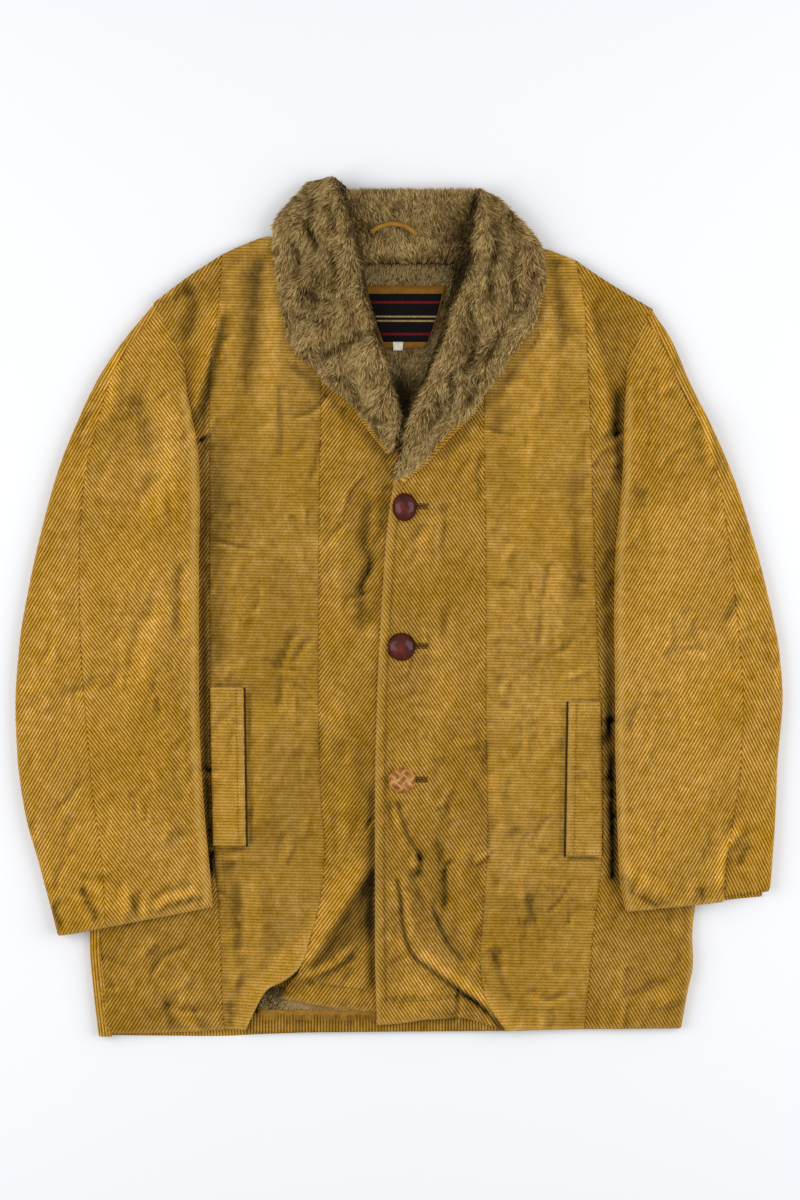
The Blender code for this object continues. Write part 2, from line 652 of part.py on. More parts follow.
CORDUROY = (160, 120, 48, 0.9)
PILE = (116, 94, 53, 1.0)
LINING = (110, 91, 53, 1.0)
TAPE = (146, 110, 48, 0.8)
PATCH = (120, 84, 30, 0.85)
LABEL = (38, 28, 24, 0.7)
TAB = (220, 214, 200, 0.8)
DARK_LEATHER = (88, 46, 38, 0.35)
TAN_LEATHER = (159, 112, 66, 0.4)

for leftover in list(bpy.data.objects):
    bpy.data.objects.remove(leftover)

coat = bpy.data.collections.new("sherpa-lined coat")
cutters = bpy.data.collections.new("cutters")
bpy.context.scene.collection.children.link(coat)
bpy.context.scene.collection.children.link(cutters)

turned_back("back", CORDUROY)
flat_wall("right_front_side", CORDUROY, 7, FRONT_ROWS,
          patch(front_side_edge(), RIGHT_SIDE_SEAM, [(187, 277)], [(160, 1033.5)]),
          right_under, BODY_WALL)
flat_wall("right_front_middle", CORDUROY, 9, FRONT_ROWS,
          patch(RIGHT_SIDE_SEAM, RIGHT_CENTRE_SEAM, [(237, 247), (272, 236)]),
          right_under, BODY_WALL)
flat_wall("right_front_centre", CORDUROY, 10, FRONT_ROWS,
          patch(RIGHT_CENTRE_OUTER, RIGHT_FRONT_EDGE, (), RIGHT_CENTRE_HEM),
          right_under, BODY_WALL)
lapped_front = flat_wall(
    "left_front_centre", CORDUROY, 10, FRONT_ROWS + 4,
    patch(LEFT_FRONT_EDGE, LEFT_CENTRE_SEAM, (), LEFT_CENTRE_HEM), left_under, BODY_WALL)
flat_wall("left_front_middle", CORDUROY, 9, FRONT_ROWS + 4,
          patch(LEFT_CENTRE_SEAM, LEFT_SIDE_SEAM, [(541, 247)]), left_under, BODY_WALL)
flat_wall("left_front_side", CORDUROY, 7, FRONT_ROWS + 4,
          patch(LEFT_SIDE_SEAM, LEFT_EDGE, [(599, 276), (623, 291)]), left_under, BODY_WALL)

for side, rows, folds in (("right", SLEEVE_RIGHT, SLEEVE_RIGHT_FOLDS),
                          ("left", SLEEVE_LEFT, SLEEVE_LEFT_FOLDS)):
    sleeve_piece("sleeve_upper_" + side, CORDUROY, rows, folds, (7, 4, 1), False)
    sleeve_piece("sleeve_under_" + side, CORDUROY, rows, folds, (1, 3, 1, 4, 3), True)

collar_flap("right", COLLAR_RIGHT)
collar_flap("left", COLLAR_LEFT)
collar_behind("collar_back", PILE)
flat_wall("neck_lining", LINING, 4, 8, patch(NECK_LINING_RIGHT, NECK_LINING_LEFT),
          lambda point: FRONT_UNDER, BODY_WALL)
hanger_loop("hanger_loop", TAPE)

flat_wall("label_patch", PATCH, 2, 2, patch([(379, 286), (386, 347)], [(440, 286), (427, 347)]),
          lambda point: FRONT_TOP + GAP, LABEL_WALL)
flat_wall("label", LABEL, 2, 2, patch([(381, 295), (387, 342)], [(437.5, 295), (428.5, 342)]),
          lambda point: FRONT_TOP + 2 * GAP + LABEL_WALL, LABEL_WALL)
flat_wall("size_tab", TAB, 1, 1, patch([(392, 347.6), (392.5, 351)], [(403, 347.6), (402.5, 351)]),
          lambda point: FRONT_TOP + GAP, LABEL_WALL)

flat_wall("hem_facing", CORDUROY, 16, 1,
          patch([(262, 1015.6), (253, 1033)], [(484, 1026), (494, 1031)],
                [(330, 1015.6), (372, 1015.6), (430, 1021)], [(335, 1032), (435, 1031.5)]),
          lambda point: FRONT_UNDER, STRIP_WALL)
flat_wall("hem_tape", TAPE, 8, 1,
          patch([(262, 1011.3), (261, 1015.2)], [(373, 1014.0), (373, 1015.2)], [(330, 1011.4)]),
          lambda point: FRONT_UNDER, STRIP_WALL)
flat_wall("hem_lining", LINING, 5, 1,
          patch([(265, 999.5), (262, 1010.8)], [(331, 1009.4), (331, 1010.8)], [(300, 1004.4)]),
          lambda point: FRONT_UNDER, STRIP_WALL)

for side, edges, under in (("right", WELT_RIGHT, right_under), ("left", WELT_LEFT, left_under)):
    flat_wall("welt_" + side, CORDUROY, 3, 12, patch(*edges),
              lambda point, under=under: under(point) + BODY_WALL + GAP, WELT_WALL)

for button in BUTTONS:
    cut_slot(lapped_front, button)
    leather = TAN_LEATHER if button.name == "button_3" else DARK_LEATHER
    turned_button(button, leather, FRONT_TOP + GAP)
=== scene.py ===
# %% [markdown]
# # A pile-lined corduroy coat, laid out flat
#
# The coat lies on its back, buttoned, and is looked at from straight above. Its cloth is a wide
# corduroy cut on the bias in most panels, and its collar and lining are a plush pile. The solids of
# the coat are loaded first as a fixed frame; every visible piece below is built on their form.

# %% Load the frame
import json
import math
from collections import namedtuple
import bpy
import numpy as np
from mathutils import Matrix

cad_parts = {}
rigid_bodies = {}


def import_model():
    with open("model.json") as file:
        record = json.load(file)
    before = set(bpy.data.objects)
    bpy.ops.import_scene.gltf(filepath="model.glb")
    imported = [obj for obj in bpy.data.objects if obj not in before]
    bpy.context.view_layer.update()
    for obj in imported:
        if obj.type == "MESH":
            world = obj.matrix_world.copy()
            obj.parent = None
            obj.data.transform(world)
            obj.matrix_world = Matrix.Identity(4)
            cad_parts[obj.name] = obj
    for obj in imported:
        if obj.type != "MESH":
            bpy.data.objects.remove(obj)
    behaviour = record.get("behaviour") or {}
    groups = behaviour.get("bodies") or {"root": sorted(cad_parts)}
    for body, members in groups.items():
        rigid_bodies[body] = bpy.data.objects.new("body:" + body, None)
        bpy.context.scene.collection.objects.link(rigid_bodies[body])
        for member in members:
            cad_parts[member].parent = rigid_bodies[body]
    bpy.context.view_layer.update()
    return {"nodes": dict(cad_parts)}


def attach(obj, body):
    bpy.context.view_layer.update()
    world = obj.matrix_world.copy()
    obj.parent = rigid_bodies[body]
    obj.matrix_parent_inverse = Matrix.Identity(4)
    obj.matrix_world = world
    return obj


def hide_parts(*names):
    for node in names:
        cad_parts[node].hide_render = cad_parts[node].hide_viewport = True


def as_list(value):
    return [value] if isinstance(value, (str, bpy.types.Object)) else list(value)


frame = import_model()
print("solids loaded:", len(frame["nodes"]))

# %% [markdown]
# ## Camera, floor and light
#
# Plan sizes are in millimetres, x to the right and y from the collar to the hem, so a camera hung
# above the middle of the view needs only its height and a lens that takes in the view's length.
# A long lens keeps the flat coat free of perspective. Two wide soft lights from the sides and a
# bright world give the faint shadows of a studio table.

# %% Camera
MM = 0.001
PLAN_MIDDLE = np.array((399.0, 608.0))
VIEW_MIDDLE = (400.0, 600.0)
VIEW_TALL = 1200.0
CAMERA_HEIGHT = 2600.0
COAT_LEVEL = 12.0
SENSOR_TALL = 24.0


def metres(plan, height):
    """Plan places and heights in millimetres as points of the frame, in metres"""
    plan = np.asarray(plan, float)
    heights = np.broadcast_to(height, plan.shape[:1])
    return np.column_stack([plan[:, 0] - PLAN_MIDDLE[0], PLAN_MIDDLE[1] - plan[:, 1], heights]) * MM


def link(name, data):
    """A new object in the scene"""
    made = bpy.data.objects.new(name, data)
    bpy.context.scene.collection.objects.link(made)
    return made


camera = link("camera", bpy.data.cameras.new("camera"))
camera.data.sensor_fit = "VERTICAL"
camera.data.sensor_height = SENSOR_TALL
camera.data.lens = SENSOR_TALL * (CAMERA_HEIGHT - COAT_LEVEL) / VIEW_TALL
camera.location = metres([VIEW_MIDDLE], CAMERA_HEIGHT)[0]
bpy.context.scene.camera = camera
print("lens in mm:", round(camera.data.lens, 1))

# %% Floor and lights
FLOOR_REACH = 6.0
FLOOR_LEVEL = -0.0006
LIGHT_SIZE = 1.7
WORLD_STRENGTH = 0.46
Lamp = namedtuple("Lamp", "name x y z watts")
LAMPS = [Lamp("left_light", -1.6, 0.05, 1.4, 25.0), Lamp("right_light", 1.6, 0.1, 1.4, 25.0)]


def linear(*shown):
    """Screen colour from 0 to 255 as the linear colour that a shader takes"""
    shares = np.array(shown) / 255.0
    return (*np.where(shares <= 0.04045, shares / 12.92, ((shares + 0.055) / 1.055) ** 2.4), 1.0)


floor_mesh = bpy.data.meshes.new("floor")
corners = [(-1, -1), (1, -1), (1, 1), (-1, 1)]
floor_mesh.from_pydata([(FLOOR_REACH * x, FLOOR_REACH * y, FLOOR_LEVEL) for x, y in corners], [],
                       [(0, 1, 2, 3)])
floor = link("floor", floor_mesh)
paper = bpy.data.materials.new("pale_paper")
paper.use_nodes = True
paper.node_tree.nodes["Principled BSDF"].inputs["Base Color"].default_value = linear(244, 246, 250)
paper.node_tree.nodes["Principled BSDF"].inputs["Roughness"].default_value = 0.9
floor_mesh.materials.append(paper)

for lamp in LAMPS:
    light = bpy.data.lights.new(lamp.name, "AREA")
    light.size = LIGHT_SIZE
    light.energy = lamp.watts
    holder = link(lamp.name, light)
    holder.location = lamp.x, lamp.y, lamp.z
    holder.rotation_euler = (-holder.location).to_track_quat("-Z", "Y").to_euler()
world = bpy.data.worlds.new("studio")
world.use_nodes = True
world.node_tree.nodes["Background"].inputs["Color"].default_value = (1.0, 1.0, 1.0, 1.0)
world.node_tree.nodes["Background"].inputs["Strength"].default_value = WORLD_STRENGTH
bpy.context.scene.world = world
bpy.context.scene.view_settings.view_transform = "Standard"
print("lights:", [lamp.name for lamp in LAMPS])

# %% [markdown]
# ## Finishes
#
# Corduroy could be an image, but a few nodes give it at any size. Each cloth piece carries a UV map
# named wales that counts wales across the cloth and runs along them, so a saw of that count colours
# the crests lighter than the furrows: the crests worn, the furrows painted shade. Noise on the
# object's own place gives the rubbed patches of old cotton, and a point value named wear lightens
# edges that have been handled. Another point value is painted light and shade: it lightens the
# cloth where a fold's slope faces up and left, darkens it on slopes turned away, in gaps and beside
# raised parts, and holds a few darker patches of crushed pile. Creases too fine for the mesh are
# painted as thin pairs of shade and light, set where a stretched noise crosses its middle.

# %% Node helpers
def socket(sockets, key):
    """The socket in use under a name, or at a place"""
    if isinstance(key, int):
        return sockets[key]
    return next(found for found in sockets if found.name == key and found.enabled)


def add(tree, kind, inputs=None, **settings):
    """A node with its settings, and its inputs set or linked"""
    made = tree.nodes.new(kind)
    for key, value in settings.items():
        setattr(made, key, value)
    for key, value in (inputs or {}).items():
        target = socket(made.inputs, key)
        if isinstance(value, bpy.types.NodeSocket):
            tree.links.new(value, target)
        else:
            target.default_value = value
    return made


def math_node(tree, operation, first, second=0.0):
    return add(tree, "ShaderNodeMath", {0: first, 1: second}, operation=operation).outputs[0]


def ramp(tree, factor, *stops):
    """A colour ramp through (place, colour) stops"""
    made = add(tree, "ShaderNodeValToRGB", {"Fac": factor})
    elements = made.color_ramp.elements
    while len(elements) < len(stops):
        elements.new(0.5)
    for element, (place, colour) in zip(elements, stops):
        element.position = place
        element.color = colour
    return made.outputs["Color"]


def noise(tree, vector, scale, detail=2.0, roughness=0.5):
    return add(tree, "ShaderNodeTexNoise", {"Vector": vector, "Scale": scale, "Detail": detail,
                                            "Roughness": roughness}).outputs["Fac"]


def spread(tree, factor, low, high):
    """Noise, which keeps near the middle, stretched to a range"""
    return add(tree, "ShaderNodeMapRange", {"Value": factor, "From Min": 0.3, "From Max": 0.7,
                                            "To Min": low, "To Max": high}).outputs["Result"]


def new_finish(name, roughness, **uniform):
    """A material with its tree and shader; uniform values go straight on the shader"""
    material = bpy.data.materials.new(name)
    material.use_nodes = True
    shader = material.node_tree.nodes["Principled BSDF"]
    shader.inputs["Roughness"].default_value = roughness
    for key, value in uniform.items():
        shader.inputs[key.replace("_", " ")].default_value = value
    return material, material.node_tree, shader


# %% Corduroy
def grey(level):
    return (level, level, level, 1.0)


def corduroy(name, furrow, crest, worn, crease_shading):
    material, tree, shader = new_finish(name, 0.9, Sheen_Weight=0.12, Sheen_Roughness=0.45)
    shader.inputs["Sheen Tint"].default_value = linear(236, 186, 90)
    shader.inputs["Specular IOR Level"].default_value = 0.08
    wales = add(tree, "ShaderNodeUVMap", uv_map="wales").outputs["UV"]
    place = add(tree, "ShaderNodeTexCoord").outputs["Object"]
    across = add(tree, "ShaderNodeSeparateXYZ", {"Vector": wales}).outputs["X"]
    # Crests lighter than furrows: the crests partly worn, the darker furrows painted shade.
    height = math_node(tree, "PINGPONG", across, 0.5)
    colour = ramp(tree, math_node(tree, "MULTIPLY", height, 2.0),
                  (0.0, furrow), (0.38, tuple(np.add(furrow, crest) / 2)), (1.0, crest))
    fibre_place = add(tree, "ShaderNodeVectorMath", {0: wales, 1: (3.0, 0.9, 1.0)},
                      operation="MULTIPLY").outputs["Vector"]
    fibres = noise(tree, fibre_place, 1.6, 3.0, 0.7)
    patches = spread(tree, noise(tree, place, 11.0, 2.0, 0.5), 0.90, 1.10)
    rubs = spread(tree, noise(tree, place, 120.0, 4.0, 0.7), 0.80, 1.20)
    strands = spread(tree, fibres, 0.72, 1.28)
    mottle = math_node(tree, "MULTIPLY", math_node(tree, "MULTIPLY", patches, rubs), strands)
    # Painted light and shade on each point, from fold slopes, gaps and shade lines, with each panel's own
    # tone and a few patches of crushed pile.
    nap = add(tree, "ShaderNodeAttribute", attribute_name="nap").outputs["Fac"]
    # Painted shade and light of fine creases: thin dark and light pairs along a stretched noise, where a
    # second noise lets them show.
    crinkle_place = add(tree, "ShaderNodeVectorMath", {0: place, 1: (1.0, 0.45, 1.0)},
                        operation="MULTIPLY").outputs["Vector"]
    pair = ramp(tree, noise(tree, crinkle_place, 38.0, 3.0, 0.55), (0.44, grey(0.5)), (0.485, grey(0.15)),
                (0.515, grey(0.8)), (0.56, grey(0.5)))
    where = spread(tree, noise(tree, place, 9.0), 0.0, crease_shading)
    fine = math_node(tree, "MULTIPLY", where, math_node(tree, "SUBTRACT", pair, 0.5))
    shaded = math_node(tree, "ADD", math_node(tree, "ADD", nap, 1.0), fine)
    value = math_node(tree, "MULTIPLY", mottle, shaded)
    deeper = math_node(tree, "SUBTRACT", 1.28, math_node(tree, "MULTIPLY", mottle, 0.26))
    toned = add(tree, "ShaderNodeHueSaturation", {"Color": colour, "Value": value,
                                                  "Saturation": deeper}).outputs["Color"]
    wear = add(tree, "ShaderNodeAttribute", attribute_name="wear").outputs["Fac"]
    rubbed = add(tree, "ShaderNodeMix", {"Factor": wear, "A": toned, "B": worn}, data_type="RGBA")
    tree.links.new(socket(rubbed.outputs, "Result"), shader.inputs["Base Color"])
    relief = math_node(tree, "ADD", height, math_node(tree, "MULTIPLY", fibres, 0.5))
    bump = add(tree, "ShaderNodeBump", {"Height": relief, "Strength": 0.35, "Distance": 0.0006})
    tree.links.new(bump.outputs["Normal"], shader.inputs["Normal"])
    return material


ochre = corduroy("ochre_corduroy", linear(98, 60, 6), linear(210, 163, 72), linear(210, 170, 92), 0.34)
smooth_ochre = corduroy("smoother_corduroy", linear(140, 102, 32), linear(190, 148, 68),
                        linear(206, 168, 92), 0.26)
print("finishes:", ochre.name, smooth_ochre.name)

# %% Pile, tape, leather and thread
def plush(name, deep, middle, light):
    """Pile whose locks vary in tone, pale at the tip and dark at the root, partly painted shade among the
    locks
    """
    material, tree, shader = new_finish(name, 0.95, Sheen_Weight=0.25, Sheen_Roughness=0.5)
    shader.inputs["Sheen Tint"].default_value = linear(200, 180, 140)
    shader.inputs["Specular IOR Level"].default_value = 0.15
    place = add(tree, "ShaderNodeTexCoord").outputs["Object"]
    tone = add(tree, "ShaderNodeAttribute", attribute_name="tone").outputs["Fac"]
    tip = add(tree, "ShaderNodeAttribute", attribute_name="tip").outputs["Fac"]
    patches = spread(tree, noise(tree, place, 34.0, 3.0, 0.6), -0.09, 0.09)
    lit = math_node(tree, "ADD", math_node(tree, "MULTIPLY", tip, 0.5),
                    math_node(tree, "MULTIPLY", tone, 0.8))
    # Painted light and shade carried from the points of the ground.
    nap = add(tree, "ShaderNodeAttribute", attribute_name="nap").outputs["Fac"]
    shade = math_node(tree, "ADD", math_node(tree, "ADD", lit, nap), patches)
    colour = ramp(tree, shade, (0.12, deep), (0.62, middle), (1.0, light))
    tree.links.new(colour, shader.inputs["Base Color"])
    return material


def woven(name, warp, weft, scale, roughness):
    """Plain woven tape or label cloth, warp and weft crossing"""
    material, tree, shader = new_finish(name, roughness, Specular_IOR_Level=0.15)
    place = add(tree, "ShaderNodeTexCoord").outputs["Object"]
    weave = add(tree, "ShaderNodeTexChecker", {"Vector": place, "Color1": warp, "Color2": weft,
                                               "Scale": scale})
    value = spread(tree, noise(tree, place, 160.0, 3.0, 0.6), 0.75, 1.2)
    toned = add(tree, "ShaderNodeHueSaturation", {"Color": weave.outputs["Color"], "Value": value})
    tree.links.new(toned.outputs["Color"], shader.inputs["Base Color"])
    bump = add(tree, "ShaderNodeBump", {"Height": weave.outputs["Fac"], "Strength": 0.4,
                                        "Distance": 0.0002})
    tree.links.new(bump.outputs["Normal"], shader.inputs["Normal"])
    return material


def leather(name, dark, light, grain):
    """Polished leather: mottled, lightly pebbled, with a thin waxy coat"""
    material, tree, shader = new_finish(name, 0.4, Coat_Weight=0.35, Coat_Roughness=0.1)
    shader.inputs["Specular IOR Level"].default_value = 0.15
    place = add(tree, "ShaderNodeTexCoord").outputs["Object"]
    mottle = spread(tree, noise(tree, place, 130.0, 4.0, 0.6), 0.0, 1.0)
    # The wear value lightens the leather: a painted highlight on the plain domes, the pale edges of the
    # strips on the knot.
    wear = add(tree, "ShaderNodeAttribute", attribute_name="wear").outputs["Fac"]
    blend = math_node(tree, "ADD", math_node(tree, "MULTIPLY", mottle, 0.55), wear)
    tree.links.new(ramp(tree, blend, (0.0, dark), (1.0, light)), shader.inputs["Base Color"])
    pebbles = add(tree, "ShaderNodeTexVoronoi", {"Vector": place, "Scale": grain})
    bump = add(tree, "ShaderNodeBump", {"Height": pebbles.outputs["Distance"], "Strength": 0.25,
                                        "Distance": 0.0003})
    tree.links.new(bump.outputs["Normal"], shader.inputs["Normal"])
    return material


collar_plush = plush("collar_plush", linear(38, 25, 6), linear(134, 107, 56), linear(212, 183, 124))
lining_plush = plush("lining_plush", linear(46, 34, 14), linear(132, 109, 64), linear(184, 158, 108))
tape_cloth = woven("mustard_tape", linear(168, 124, 48), linear(128, 88, 26), 1300.0, 0.8)
patch_cloth = woven("mustard_twill", linear(142, 98, 28), linear(104, 68, 14), 1100.0, 0.85)
tab_cloth = woven("white_tab", linear(232, 226, 212), linear(196, 188, 170), 1500.0, 0.8)
thread = woven("ochre_thread", linear(164, 120, 48), linear(112, 76, 24), 2400.0, 0.8)
dark_thread = woven("brown_thread", linear(124, 86, 36), linear(84, 56, 20), 2400.0, 0.8)
burgundy = leather("burgundy_leather", linear(30, 6, 5), linear(112, 38, 24), 900.0)
tan = leather("tan_leather", linear(110, 60, 16), linear(212, 152, 80), 900.0)
print("finishes:", [made.name for made in bpy.data.materials if made.users or made.use_nodes][-9:])

# %% [markdown]
# ## Cutting cloth along its wales
#
# The furrows of this cloth are 3 mm apart and show from across a room, so they are real relief and
# not only colour. A plain grid over a panel would cut across them. Instead each panel's outline is
# ruled with lines along its own wales, four to a wale, points are set along every line, and
# neighbouring lines are zipped together with triangles. The outline stays exact, the wales run at
# the bias of the cut, and the mesh is no finer than it must be.

# %% Smooth lines and distances
def ease(low, high, value):
    """Soft step from 0 at low to 1 at high"""
    share = np.clip((value - low) / (high - low), 0.0, 1.0)
    return share * share * (3.0 - 2.0 * share)


def steady(marks, values, fine):
    """Values at fine marks on a smooth line that never swings past the given values"""
    values = np.asarray(values, float)
    widths = np.diff(marks)
    steps = np.diff(values, axis=0) / widths[:, None]
    slopes = np.vstack([steps[:1], np.zeros_like(steps[1:]), steps[-1:]])
    turn = steps[:-1] * steps[1:]
    total = np.where(turn > 0, steps[:-1] + steps[1:], 1.0)
    slopes[1:-1] = np.where(turn > 0, 2 * turn / total, 0.0)
    k = np.clip(np.searchsorted(marks, fine, side="right") - 1, 0, len(marks) - 2)
    w = widths[k][:, None]
    t = (fine - np.asarray(marks)[k])[:, None] / w
    return ((2 * t ** 3 - 3 * t ** 2 + 1) * values[k] + (t ** 3 - 2 * t ** 2 + t) * w * slopes[k]
            + (3 * t ** 2 - 2 * t ** 3) * values[k + 1] + (t ** 3 - t ** 2) * w * slopes[k + 1])


def lengths(line):
    """Length reached at each point of a line"""
    return np.concatenate([[0.0], np.cumsum(np.linalg.norm(np.diff(line, axis=0), axis=1))])


def smooth(points, step=3.0):
    """Close points on the smooth line through a few"""
    points = np.asarray(points, float)
    marks = lengths(points)
    return steady(marks, points, np.linspace(0.0, marks[-1], max(2, round(marks[-1] / step) + 1)))


def off_line(places, line):
    """Distance of each place from a line, and the share of the line reached there"""
    line = np.asarray(line, float)
    reached = lengths(line)
    best = np.full(len(places), 1e9)
    share = np.zeros(len(places))
    for start, end, before in zip(line[:-1], line[1:], reached):
        span = end - start
        size = np.linalg.norm(span)
        t = np.clip((places - start) @ span / size ** 2, 0.0, 1.0)
        away = np.hypot(*(places - start - t[:, None] * span).T)
        near = away < best
        best[near] = away[near]
        share[near] = (before + t[near] * size) / reached[-1]
    return best, share


# %% Ruling and zipping
WALE = 3.05
WALE_LINES = 4
WALE_RISE = 0.5
PACE = 4.6


def zipped(first, first_stops, second, second_stops):
    """Triangles and squares between two lines of points that run side by side"""
    faces = []
    i = j = 0
    while i < len(first_stops) - 1 or j < len(second_stops) - 1:
        step_first = first_stops[i + 1] if i < len(first_stops) - 1 else math.inf
        step_second = second_stops[j + 1] if j < len(second_stops) - 1 else math.inf
        if step_first == step_second:
            faces.append((first + i, second + j, second + j + 1, first + i + 1))
            i, j = i + 1, j + 1
        elif step_first < step_second:
            faces.append((first + i, second + j, first + i + 1))
            i += 1
        else:
            faces.append((first + i, second + j, second + j + 1))
            j += 1
    return faces


def facing_part(stops, part):
    """Range of the stops of a line that face one part of the line beside it"""
    first, last = np.minimum(np.searchsorted(stops, part), len(stops) - 1)
    return slice(first, last + 1)


def lay_wales(outline, lean, pace):
    """Flat places, faces and wale coordinates of a cut outline, ruled along wales that lean so far"""
    turn = math.radians(lean)
    along = np.array((math.cos(turn), math.sin(turn)))
    across = np.array((-math.sin(turn), math.cos(turn)))
    a, l = outline @ across, outline @ along
    a_next, l_next = np.roll(a, -1), np.roll(l, -1)
    spacing = WALE / WALE_LINES
    ruled, faces, before, count = [], [], [], 0
    for line in range(math.ceil(a.min() / spacing), math.floor(a.max() / spacing) + 1):
        where = line * spacing + 1e-5
        cut = (a > where) != (a_next > where)
        ends = np.sort(l[cut] + (where - a[cut]) / (a_next[cut] - a[cut]) * (l_next[cut] - l[cut]))
        lows, highs = ends[::2], ends[1::2]
        parts = [-math.inf, *((highs[:-1] + lows[1:]) / 2), math.inf]
        now = []
        for low, high, part in zip(lows, highs, zip(parts, parts[1:])):
            first = math.ceil(low / pace + 0.35)
            stops = [low, *(pace * k for k in range(first, math.floor(high / pace - 0.35) + 1)), high]
            ruled.append(np.column_stack([np.full(len(stops), where), stops]))
            for start_before, stops_before, part_before in before:
                if low < stops_before[-1] and stops_before[0] < high:
                    old, new = facing_part(stops_before, part), facing_part(stops, part_before)
                    faces += zipped(start_before + old.start, stops_before[old],
                                    count + new.start, stops[new])
            now.append((count, stops, part))
            count += len(stops)
        before = now
    ruled = np.vstack(ruled)
    flat = ruled[:, :1] * across + ruled[:, 1:] * along
    return flat, faces, ruled / WALE


# %% Sewing patches into a piece
Patch = namedtuple("Patch", "points faces uv wear nap")
Fold = namedtuple("Fold", "path start end width")
Spot = namedtuple("Spot", "x y wide tall tone")
SEAM_SOFT, SEAM_DROP = 2.6, 0.8
EDGE_SOFT, EDGE_DROP = 4.5, 1.6
PUCKER = 0.45
PUCKER_REACH = 7.0
# Painted light and shade of fold slopes, as if lit from up and left: the step for slopes, the gains across,
# down and with height, the limit, and the share kept where the slope is lit.
SLOPE_STEP = 0.8
PAINTED_LIGHT_ACROSS, PAINTED_LIGHT_DOWN, PAINTED_SHADE_HEIGHT, PAINTED_SHADE_MOST = 0.75, 1.0, 0.05, 0.36
PAINTED_LIGHT_SHARE = 0.8
FOLD_SHADE = 1.3
FADE = 2.4


def rim_edges(faces):
    """Edges that only one face uses, in that face's own order"""
    seen = {}
    for face in faces:
        for here, there in zip(face, (*face[1:], face[0])):
            if seen.pop((there, here), None) is None:
                seen[here, there] = True
    return list(seen)


def hemmed(flat, faces, uv, place, rise, depth, wear, nap):
    """A patch set on its form, with its raw edges turned down by a depth"""
    rim = rim_edges(faces)
    lips = sorted({corner for edge in rim for corner in edge})
    below = {corner: len(flat) + order for order, corner in enumerate(lips)}
    skirt = [(there, here, below[here], below[there]) for here, there in rim]
    points = np.vstack([place(flat, rise), place(flat[lips], rise[lips] - depth)])
    return Patch(points, faces + skirt, np.vstack([uv, uv[lips]]),
                 np.concatenate([wear, wear[lips]]), np.concatenate([nap, nap[lips]]))


def rubbed_by(flat, lines, reach):
    """Wear at each place from being near a handled edge"""
    wear = np.zeros(len(flat))
    for line in lines:
        wear = np.maximum(wear, np.exp(-(off_line(flat, line)[0] / reach) ** 2))
    return wear


def along_folds(flat, folds):
    """Sum at each place of what runs along lines and fades to their sides: heights or tones"""
    total = np.zeros(len(flat))
    x, y = np.ascontiguousarray(flat.T)
    for fold in folds:
        line = smooth(fold.path, 8.0)
        low, high = line.min(0) - 3.0 * fold.width, line.max(0) + 3.0 * fold.width
        close = np.flatnonzero((x > low[0]) & (x < high[0]) & (y > low[1]) & (y < high[1]))
        away, share = off_line(flat[close], line)
        from_end = np.minimum(share, 1.0 - share) * lengths(line)[-1]
        strength = (fold.start + (fold.end - fold.start) * share) * ease(0.0, FADE * fold.width, from_end)
        total[close] += strength * np.exp(-(away / fold.width) ** 2)
    return total


def painted_shade_tone(flat, field, spots, shades):
    """Painted light on slopes that face up and left, painted shade on others and in hollows, with spots and
    lines added
    """
    here = field(flat)
    across = (field(flat + (SLOPE_STEP, 0.0)) - here) / SLOPE_STEP
    down = (field(flat + (0.0, SLOPE_STEP)) - here) / SLOPE_STEP
    nap = np.clip(PAINTED_LIGHT_ACROSS * across + PAINTED_LIGHT_DOWN * down + PAINTED_SHADE_HEIGHT * here, -PAINTED_SHADE_MOST, PAINTED_SHADE_MOST)
    nap = np.where(nap > 0, PAINTED_LIGHT_SHARE * nap, nap)
    for spot in spots:
        x, y = (flat - (spot.x, spot.y)).T
        nap += spot.tone * np.exp(-(x / spot.wide) ** 2 - (y / spot.tall) ** 2)
    return np.clip(np.clip(nap, -0.5, 0.5) + along_folds(flat, shades), -0.8, 0.6)


def cut_panel(outline, lean, place, depth, field, pace=PACE, relief=1.0, worn=(), spots=(), shades=(),
              tone=0.0):
    """A corduroy panel cut to an outline and laid on a form, puckered along its seams"""
    flat, faces, uv = lay_wales(outline, lean, pace)
    closed = np.vstack([outline, outline[:1]])
    gap, share = off_line(flat, closed)
    run = share * lengths(closed)[-1]
    near = np.clip(1.0 - gap / SEAM_SOFT, 0.0, 1.0)
    wale = WALE_RISE * relief * (2.0 * np.abs(np.sin(np.pi * uv[:, 0])) ** 0.8 - 1.0)
    rise = wale * (1.0 - 0.5 * near) - SEAM_DROP * (1.0 - np.sqrt(1.0 - near ** 2))
    for line in worn:
        free = np.clip(1.0 - off_line(flat, line)[0] / EDGE_SOFT, 0.0, 1.0)
        rise -= EDGE_DROP * (1.0 - np.sqrt(1.0 - free ** 2))
    rise += PUCKER * np.exp(-gap / PUCKER_REACH) * np.sin(run / 2.2 + 2.0 * np.sin(run / 9.0))
    # The panel's own tone, plus painted light and shade from slopes, spots and shade lines.
    nap = tone + painted_shade_tone(flat, field, spots, shades)
    return hemmed(flat, faces, uv, place, rise, depth, 0.45 * rubbed_by(flat, worn, 3.0), nap)


